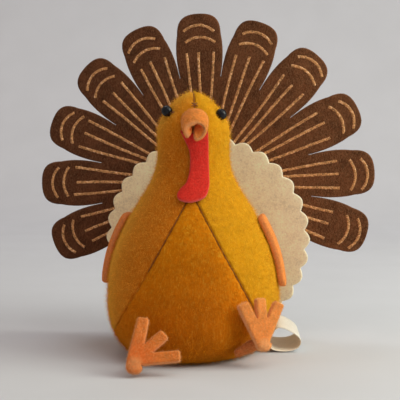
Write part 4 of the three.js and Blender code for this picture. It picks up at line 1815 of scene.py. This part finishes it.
@dataclass
class Wattle:
    """The red strip that hangs from under the beak and swells to a bent lobe."""

    shop: Workshop
    body: SewnBody
    top: float = 104.64
    felt: float = 2.0
    gap: float = 0.42
    hinge: tuple[float, float, float] = (3.576, -18.397, 104.642)
    shape: tuple[tuple[float, float], ...] = (
        (-6.6, -3.9), (-4.6, -3.3), (-2.0, -3.0), (1.5, -3.0), (4.2, -3.2), (5.6, -3.7), (5.9, 0.6),
        (6.0, 6.5), (6.1, 12.2), (6.2, 18.0), (6.0, 23.8), (3.9, 28.4), (-2.2, 30.5), (-7.4, 29.6),
        (-8.4, 27.2), (-6.9, 24.4), (-4.0, 21.0), (-2.5, 14.5), (-2.5, 6.5), (-4.6, 0.6),
    )
    nap: Nap = field(default_factory=lambda: Nap(2.0, 0.5, 0.04))

    def build(self) -> None:
        """Makes the wattle and its nap and hides the frame's wattle."""
        shop, finishes = self.shop, self.shop.finishes
        cut = CutFelt(smooth_loop(self.shape, 10), self.felt, edge_step=0.5, inner_step=1.0)

        def placing(across: Array, down: Array, height: Array) -> Array:
            """Hangs the flat cut on the front of the neck and breast.

            Args:
                across: Flat places across.
                down: Flat places downwards.
                height: Heights in the felt.

            Returns:
                Places in millimetres.
            """
            level = self.top - down
            radius = self.body.outline.at_height(level)[0]
            lift = self.gap + self.felt / 2 + height + 0.35 * smoothstep(down, 8.0, 30.0)
            return self.body.outline.around(self.body.head_turn + np.degrees(across / radius), level, lift)

        piece = cut.build("hanging_wattle", placing, finishes.red)
        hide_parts("wattle")
        cut.flat_size()
        cut.area()
        hair = self.nap.grow(shop.naps, piece, finishes.red_nap, 24)
        for part in (piece, hair):
            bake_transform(part)
            LOG.info("%s: %d faces", part.name, len(part.data.polygons))


@dataclass
class Wings:
    """Two rounded leaves of doubled felt, sewn at the shoulder."""

    shop: Workshop
    body: SewnBody
    angle: float = 96.0
    top: float = 66.0
    drop: float = 34.0
    front: float = 10.0
    rear: float = 18.0
    fullest: float = 0.5
    front_curve: float = 5.0
    rear_curve: float = 2.2
    felt: float = 3.4
    gap: float = 0.42
    nap: Nap = field(default_factory=lambda: Nap(1.6, 0.55, 0.04))

    def edge(self, share: Array, width: float, curve: float) -> Array:
        """How far an edge stands out along the wing.

        Args:
            share: Shares of the length.
            width: Widest reach.
            curve: Fullness of the curve.

        Returns:
            Distances in millimetres.
        """
        above = 1 - share / self.fullest
        below = (share - self.fullest) / (1 - self.fullest)
        away = np.where(share < self.fullest, above, below)
        return width * np.maximum(1 - away**curve, 0.02) ** (1 / curve)

    def wing(self, side: Side) -> None:
        """Makes one wing and its nap, and ties them to the frame.

        Args:
            side: Which wing.
        """
        shop, finishes = self.shop, self.shop.finishes
        share = np.linspace(0.0, 1.0, 60)
        fore = np.stack([-self.edge(share, self.front, self.front_curve), share * self.drop], axis=1)
        aft = np.stack([self.edge(share, self.rear, self.rear_curve), share * self.drop], axis=1)
        cut = CutFelt(np.vstack([fore, aft[::-1]]), self.felt, roundness=1.4, edge_step=0.6, inner_step=1.4)

        def placing(across: Array, down: Array, height: Array) -> Array:
            """Lays the flat cut on the body's side.

            Args:
                across: Flat places across.
                down: Flat places downwards.
                height: Heights in the felt.

            Returns:
                Places in millimetres.
            """
            level = self.top - down
            radius = self.body.outline.at_height(level)[0]
            angle = side.value * (self.angle + np.degrees(across / radius))
            return self.body.outline.around(angle, level, self.gap + self.felt / 2 + height)

        name = f"{side.label}_wing"
        piece = cut.build(f"{name}_leaf", placing, finishes.orange)
        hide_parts(name)
        cut.flat_size()
        cut.area()
        hair = self.nap.grow(shop.naps, piece, finishes.orange_nap, 30 + side.value)
        for part in (piece, hair):
            shop.settle(part, name, "orange_felt")

    def build(self) -> None:
        """Makes both wings."""
        for side in Side:
            self.wing(side)


@dataclass(frozen=True)
class Posture:
    """How one soft leg and its foot lie: angles in degrees, reach in millimetres, shares of usual sizes."""

    side: Side
    spread: float
    splay: float
    rise: float
    reach: float
    facing: float
    lean: float
    roll: float
    fan: float
    heel: float
    middle_toe: float = 1.0
    # Share of painted shade, a deeper red, in the middle of the foot.
    painted_glow_and_shade: float = 0.08
    heel_share: float = 1.0


@dataclass
class LegsAndFeet:
    """Two rolled felt legs with flat toed feet of doubled felt."""

    shop: Workshop
    body: SewnBody
    radius: float = 2.8
    seam: float = 8.0
    gap: float = 0.3
    toe_length: float = 19.8
    toe_width: float = 5.1
    toe_corner: float = 1.1
    heel_length: float = 6.4
    heel_width: float = 7.4
    heel_corner: float = 3.2
    felt: float = 4.0
    knob: float = 2.6
    postures: tuple[Posture, ...] = (
        # The left foot gets more painted shade in its middle than the right.
        Posture(Side.LEFT, -23.3, -3.6, -7.0, 14.0, 8.0, 28.0, 47.0, 38.0, 143.0, 0.88, 0.34),
        Posture(Side.RIGHT, 42.0, 98.4, 27.4, 10.0, 28.0, 16.0, 2.0, 28.0, 178.0, heel_share=0.72),
    )
    nap: Nap = field(default_factory=lambda: Nap(4.2, 1.15, 0.045))

    def root(self, posture: Posture) -> Array:
        """Where a leg's middle line starts, at the base seam."""
        return self.body.outside(posture.spread, self.seam, self.radius + self.gap)

    def leg(self, posture: Posture) -> bpy.types.Object:
        """A leg rolled from a felt strip, with its overlapping edge and the roll at both ends.

        Args:
            posture: How it lies.

        Returns:
            The leg.
        """
        along = heading(posture.splay, posture.rise)
        sideways = np.cross(along, [0.0, 0.0, 1.0])
        sideways /= np.linalg.norm(sideways)
        above = np.cross(sideways, along)
        turns = np.linspace(0.0, 2 * math.pi, 48, endpoint=False)
        lap = 1.0 - 0.13 * (turns / (2 * math.pi)) ** 3
        stations = []
        ends = [(0.0, -0.55), (0.3, -0.75), (0.55, -0.8), (0.8, -0.72), (0.95, -0.45), (1.0, 0.0)]
        for share, out in ends:
            stations.append((share, out * self.radius))
        for share in np.linspace(0.0, 1.0, 14)[1:-1]:
            stations.append((1.0, share * posture.reach))
        for share, out in ends[::-1]:
            stations.append((share, posture.reach - out * self.radius))
        start = self.root(posture)
        rows = []
        for share, level in stations:
            spiral = np.where(share < 0.9, 0.22 * np.sin(9.0 * share - turns), 0.0) * (share > 0.0)
            lean = level + np.where(level < 0, -1.0, 1.0) * spiral * (share < 0.9)
            drawn = share * (0.72 + 0.28 * float(smoothstep(level / posture.reach, 0.0, 0.6)))
            size = lap * drawn
            ring = np.outer(np.cos(turns) * size, sideways) + np.outer(np.sin(turns) * size, above)
            rows.append(start + ring * self.radius + np.outer(lean, along))
        faces = grid_faces(len(stations), len(turns), wrap=True)
        name = f"{posture.side.label}_rolled_leg"
        piece = make_object(name, np.vstack(rows), faces, self.shop.finishes.shaded)
        face_outwards(piece)
        return piece

    def foot_outline(self, posture: Posture) -> Array:
        """The cut outline of three toes and a heel round the ankle.

        Args:
            posture: How this foot lies.

        Returns:
            Its corners, across and up the foot.
        """
        toes = [(-posture.fan, 1.0), (0.0, posture.middle_toe), (posture.fan, 1.0)]
        strips = [(angle, share * self.toe_length, self.toe_width, self.toe_corner) for angle, share in toes]
        heel_length = posture.heel_share * self.heel_length
        strips.append((posture.heel, heel_length, self.heel_width, self.heel_corner))
        parts = []
        for number, (angle, length, width, inner) in enumerate(strips):
            half = width / 2
            after = strips[(number + 1) % len(strips)][0] + (360.0 if number == len(strips) - 1 else 0.0)
            turn = math.radians(posture.roll + angle)
            ahead = np.array([math.sin(turn), math.cos(turn)])
            right = np.array([math.cos(turn), -math.sin(turn)])
            bend = np.linspace(0.0, math.pi / 2, 5)
            tip = [(-half + inner - inner * math.cos(a), length - inner + inner * math.sin(a)) for a in bend]
            tip += [(half - inner + inner * math.sin(a), length - inner + inner * math.cos(a)) for a in bend]
            parts += [right * across + ahead * out for across, out in tip]
            middle = math.radians(posture.roll + (angle + after) / 2)
            crotch = max(half, self.toe_width / 2) / math.sin(math.radians((after - angle) / 2)) + 0.2
            parts.append(np.array([math.sin(middle), math.cos(middle)]) * crotch)
        return np.array(parts)

    def foot(self, posture: Posture) -> tuple[bpy.types.Object, CutFelt]:
        """A flat foot sewn across the end of its leg.

        Args:
            posture: How this foot lies.

        Returns:
            The foot and its flat cut.
        """
        outward = heading(posture.facing, posture.lean)
        above = heading(posture.facing, posture.lean + 90.0)
        right = np.cross(above, outward)
        ankle = self.root(posture) + heading(posture.splay, posture.rise) * posture.reach
        sole = ankle + outward * (self.radius + self.gap)
        back = math.radians(posture.roll + posture.heel)
        cut = CutFelt(self.foot_outline(posture), self.felt, roundness=1.1, edge_step=0.5, inner_step=1.0)

        def placing(across: Array, up: Array, height: Array) -> Array:
            """Stands the flat cut on the foot's own axes, its toes a little curled.

            Args:
                across: Flat places across.
                up: Flat places upwards.
                height: Heights in the felt.

            Returns:
                Places in millimetres.
            """
            out = np.hypot(across, up)
            curl = 0.35 * smoothstep(out, 5.0, self.toe_length) * np.sin(across * 0.35 + up * 0.2)
            from_knob = np.hypot(across - self.knob * math.sin(back), up - self.knob * math.cos(back))
            lumps = 0.95 + 0.4 * np.sin(2.3 * across + 0.9 * up) * np.cos(1.9 * up - 0.7 * across)
            bulge = np.where(height > 0.0, lumps * (1.0 - smoothstep(from_knob, 0.5, 5.2)), 0.0)
            depth = height + self.felt / 2 + curl + bulge
            return sole + np.outer(across, right) + np.outer(up, above) + np.outer(depth, outward)

        piece = cut.build(f"{posture.side.label}_toed_foot", placing, self.shop.finishes.feet[posture.side])
        knob_top = (self.knob * math.sin(back), self.knob * math.cos(back), self.felt / 2)
        heel = placing(*(np.array([value]) for value in knob_top))[0]
        # Painted highlight on the heel knob, through the rim attribute, and painted shade in the foot's
        # middle, away from its edges and knob.
        rim, glow_and_shade = piece.data.attributes["rim"], piece.data.attributes.new("glow_and_shade", "FLOAT", "POINT")
        for vertex in piece.data.vertices:
            knob_highlight = 1.0 - smoothstep((vertex.co - Vector(heel * MM)).length / MM, 2.0, 4.6)
            rim.data[vertex.index].value = max(rim.data[vertex.index].value, 0.4 * float(knob_highlight))
            middle = 1.0 - smoothstep((vertex.co - Vector(sole * MM)).length / MM, 4.0, 15.0)
            edge = 1.0 - rim.data[vertex.index].value
            glow_and_shade.data[vertex.index].value = posture.painted_glow_and_shade * edge * float(middle * (1.0 - knob_highlight))
        return piece, cut

    def build(self) -> None:
        """Makes the legs and feet with their nap, and ties them to the frame."""
        shop, finishes = self.shop, self.shop.finishes
        for seed, posture in enumerate(self.postures):
            label = posture.side.label
            leg = shop.settle(self.leg(posture), f"{label}_leg", "orange_felt", f"{label}_leg")
            leg_nap = self.nap.grow(shop.naps, leg, finishes.orange_nap, 40 + seed)
            shop.settle(leg_nap, f"{label}_leg", "orange_felt")
            foot, cut = self.foot(posture)
            shop.settle(foot, f"{label}_foot", "orange_felt", f"{label}_foot")
            cut.flat_size()
            cut.area()
            foot_nap = self.nap.grow(shop.naps, foot, finishes.orange_nap, 50 + seed)
            shop.settle(foot_nap, f"{label}_foot", "orange_felt")


@dataclass
class RibbonTag:
    """A bare ribbon that is looped out of the base seam."""

    shop: Workshop
    body: SewnBody
    angle: float = 99.0
    width: float = 21.0
    reach: float = 52.5
    lift: float = 12.5
    seam: float = 4.0
    tilt: float = 8.0
    ribbon: float = 0.7
    gap: float = 0.3
    course: tuple[tuple[float, float], ...] = (
        (0.3, 0.04), (0.65, 0.0), (0.92, 0.13), (1.0, 0.4), (0.86, 0.66), (0.55, 0.9),
    )

    def route(self, count: int) -> Array:
        """The loop's middle line, as distances from the body's axis and heights.

        Args:
            count: Number of points.

        Returns:
            The points, evenly spaced.
        """

        def beside(level: float) -> tuple[float, float]:
            """A place just outside the skin."""
            return (self.body.outline.radius(level) + self.gap + self.ribbon, level)

        start = beside(self.seam)[0] - self.gap - self.ribbon
        floor = self.ribbon / 2 + self.gap
        stops = [beside(self.seam)]
        span = self.reach - start
        stops += [(start + share * span, floor + rise * self.lift) for share, rise in self.course]
        stops += [beside(self.lift * 0.93), beside(self.seam + 0.3 * (self.lift - self.seam))]
        line = np.array([stops[0]] + stops + [stops[-1]])
        at = np.linspace(0.0, 1.0, 24, endpoint=False)[:, None]
        parts = [spline(*stretch, at) for stretch in zip(line, line[1:], line[2:], line[3:])]
        points = np.vstack(parts + [line[-1:]])
        along = np.concatenate([[0.0], np.cumsum(np.linalg.norm(np.diff(points, axis=0), axis=1))])
        stops_along = np.linspace(0.0, along[-1], count)
        self.length = float(along[-1])
        return np.stack([np.interp(stops_along, along, points[:, axis]) for axis in (0, 1)], axis=1)

    def build(self) -> None:
        """Makes the ribbon and ties it to the frame."""
        rows, columns = 120, 13
        line = self.route(rows)
        run = np.gradient(line, axis=0)
        run /= np.linalg.norm(run, axis=1, keepdims=True)
        face = np.stack([-run[:, 1], run[:, 0]], axis=1)
        out, rear = heading(self.angle), heading(self.angle + 90.0)
        share = np.linspace(0.0, 1.0, columns)
        edge = 1.0 - 0.35 * np.abs(2 * share - 1.0) ** 12
        sheets = []
        for half in (0.5, -0.5):
            thick = half * 0.6 * self.ribbon * edge
            away = line[:, None, 0] + face[:, None, 0] * thick
            level = line[:, None, 1] + face[:, None, 1] * thick
            level = level + share[None, :] * self.width * math.sin(math.radians(self.tilt))
            side = np.broadcast_to((share[None, :] - 0.5) * self.width, away.shape)
            points = away[..., None] * out + side[..., None] * rear
            points[..., 2] = level
            sheets.append(points.reshape(-1, 3))
        half_count = rows * columns
        faces = sheet_faces(rows, columns)
        piece = make_object("ribbon_tag", np.vstack(sheets), faces, self.shop.finishes.ribbon)
        flat = piece.data.uv_layers.new(name="ribbon")
        for loop in piece.data.loops:
            row, column = divmod(loop.vertex_index % half_count, columns)
            inside = float(loop.vertex_index < half_count)
            across = share[column] * self.width * MM + inside
            flat.data[loop.index].uv = (across, row / (rows - 1) * self.length * MM)
        self.shop.settle(piece, FIGURE, "ribbon", "sewn_tag")


@dataclass
class Studio:
    """A pale sweep, soft lamps and the camera at the photograph's angle."""

    azimuth: float = 8.5
    distance: float = 560.0
    eye_level: float = 113.4
    pitch: float = 4.0
    yaw: float = 0.33
    focal: float = 102.24
    floor_colour: Colour = (0.575, 0.585, 0.635)
    floor_front: float = 1600.0
    half_width: float = 2200.0
    bend_start: float = 620.0
    bend_radius: float = 380.0
    wall_top: float = 2200.0

    def sweep(self) -> None:
        """Makes the floor, which turns up into a plain backdrop."""
        shader = Shader("studio_sweep")
        grain = shader.cloud(shader.places(), 14.0, 2.0)
        stops = [(0.3, tinted(self.floor_colour, 0.98)), (0.7, tinted(self.floor_colour, 1.02))]
        colour = shader.ramp(grain, stops)
        material = shader.surface(Base_Color=colour, Roughness=0.5, Specular_IOR_Level=0.03)
        bend = np.linspace(0.0, math.pi / 2, 24)
        start, radius = self.bend_start, self.bend_radius
        profile = [(-self.floor_front, 0.0)]
        profile += [(start + radius * math.sin(a), radius - radius * math.cos(a)) for a in bend]
        profile.append((start + radius, self.wall_top))
        sides = (-self.half_width, self.half_width)
        corners = [(x, depth, level - 0.05) for depth, level in profile for x in sides]
        faces = [(2 * i, 2 * i + 1, 2 * i + 3, 2 * i + 2) for i in range(len(profile) - 1)]
        floor = make_object("studio_floor", np.array(corners), faces, material)

    @staticmethod
    def lamp(name: str, place: Array, target: Array, size: float, power: float, colour: Colour) -> None:
        """Adds a soft square lamp.

        Args:
            name: The lamp's name.
            place: Where it hangs, in metres.
            target: What it points at, in metres.
            size: Its side in metres.
            power: Its power in watts.
            colour: Its colour.
        """
        light = bpy.data.lights.new(name, "AREA")
        light.shape = "SQUARE"
        light.size = size
        light.energy = power
        light.color = colour
        lamp = bpy.data.objects.new(name, light)
        lamp.location = Vector(place)
        lamp.rotation_euler = (Vector(target) - Vector(place)).to_track_quat("-Z", "Y").to_euler()
        bpy.context.scene.collection.objects.link(lamp)

    def lights(self) -> None:
        """Hangs the lamps and sets the even light of the room."""
        target = np.array([0.0, 0.0, 0.07])
        self.lamp("window", np.array([0.74, -0.06, 0.46]), target, 0.62, 5.7, (1.0, 1.06, 0.9))
        self.lamp("room", np.array([0.65, -0.24, 1.15]), target, 1.1, 4.8, (1.0, 1.02, 0.95))
        wall = np.array([-0.1, 1.0, 0.95])
        self.lamp("backdrop", np.array([-0.35, 0.6, 1.35]), wall, 0.6, 4.2, (0.96, 0.99, 1.03))
        world = bpy.data.worlds.new("room")
        bpy.context.scene.world = world
        world.use_nodes = True
        nodes, links = world.node_tree.nodes, world.node_tree.links
        rays, seen, shade = (nodes.new(f"ShaderNode{kind}") for kind in ("LightPath", "Math", "Mix"))
        seen.operation = "MAXIMUM"
        shade.data_type = "RGBA"
        shade.inputs[6].default_value = (1.0, 0.84, 0.7, 1.0)
        shade.inputs[7].default_value = (0.84, 0.84, 0.88, 1.0)
        links.new(rays.outputs["Is Camera Ray"], seen.inputs[0])
        links.new(rays.outputs["Is Glossy Ray"], seen.inputs[1])
        links.new(seen.outputs[0], shade.inputs[0])
        links.new(shade.outputs[2], nodes["Background"].inputs["Color"])
        nodes["Background"].inputs["Strength"].default_value = 0.48

    def camera(self) -> None:
        """Sets the camera at the photograph's viewing angle."""
        lens = bpy.data.cameras.new("camera")
        lens.lens = self.focal
        lens.sensor_width = 36.0
        lens.clip_start = 0.01
        lens.clip_end = 20.0
        camera = bpy.data.objects.new("camera", lens)
        place = heading(self.azimuth) * self.distance
        camera.location = Vector((place[0] * MM, place[1] * MM, self.eye_level * MM))
        turn = math.radians(self.azimuth - self.yaw)
        camera.rotation_euler = Euler((math.radians(90.0 - self.pitch), 0.0, turn))
        bpy.context.scene.collection.objects.link(camera)
        bpy.context.scene.camera = camera

    def build(self) -> None:
        """Makes the whole studio."""
        self.sweep()
        self.lights()
        self.camera()
        bpy.context.scene.view_settings.view_transform = "Standard"


def main() -> None:
    """Builds the sub-assemblies in order and ties them to the frame."""
    Studio().build()
    shop = Workshop()
    body = SewnBody(shop, PearOutline())
    eyes = BeadEyes(shop, body)
    body.build(eyes.places())
    eyes.build()
    FoldedBeak(shop, body).build()
    Wattle(shop, body).build()
    TailDisc(shop).build()
    TailFan(shop).build()
    Wings(shop, body).build()
    LegsAndFeet(shop, body).build()
    RibbonTag(shop, body).build()


if __name__ == "__main__":
    main()
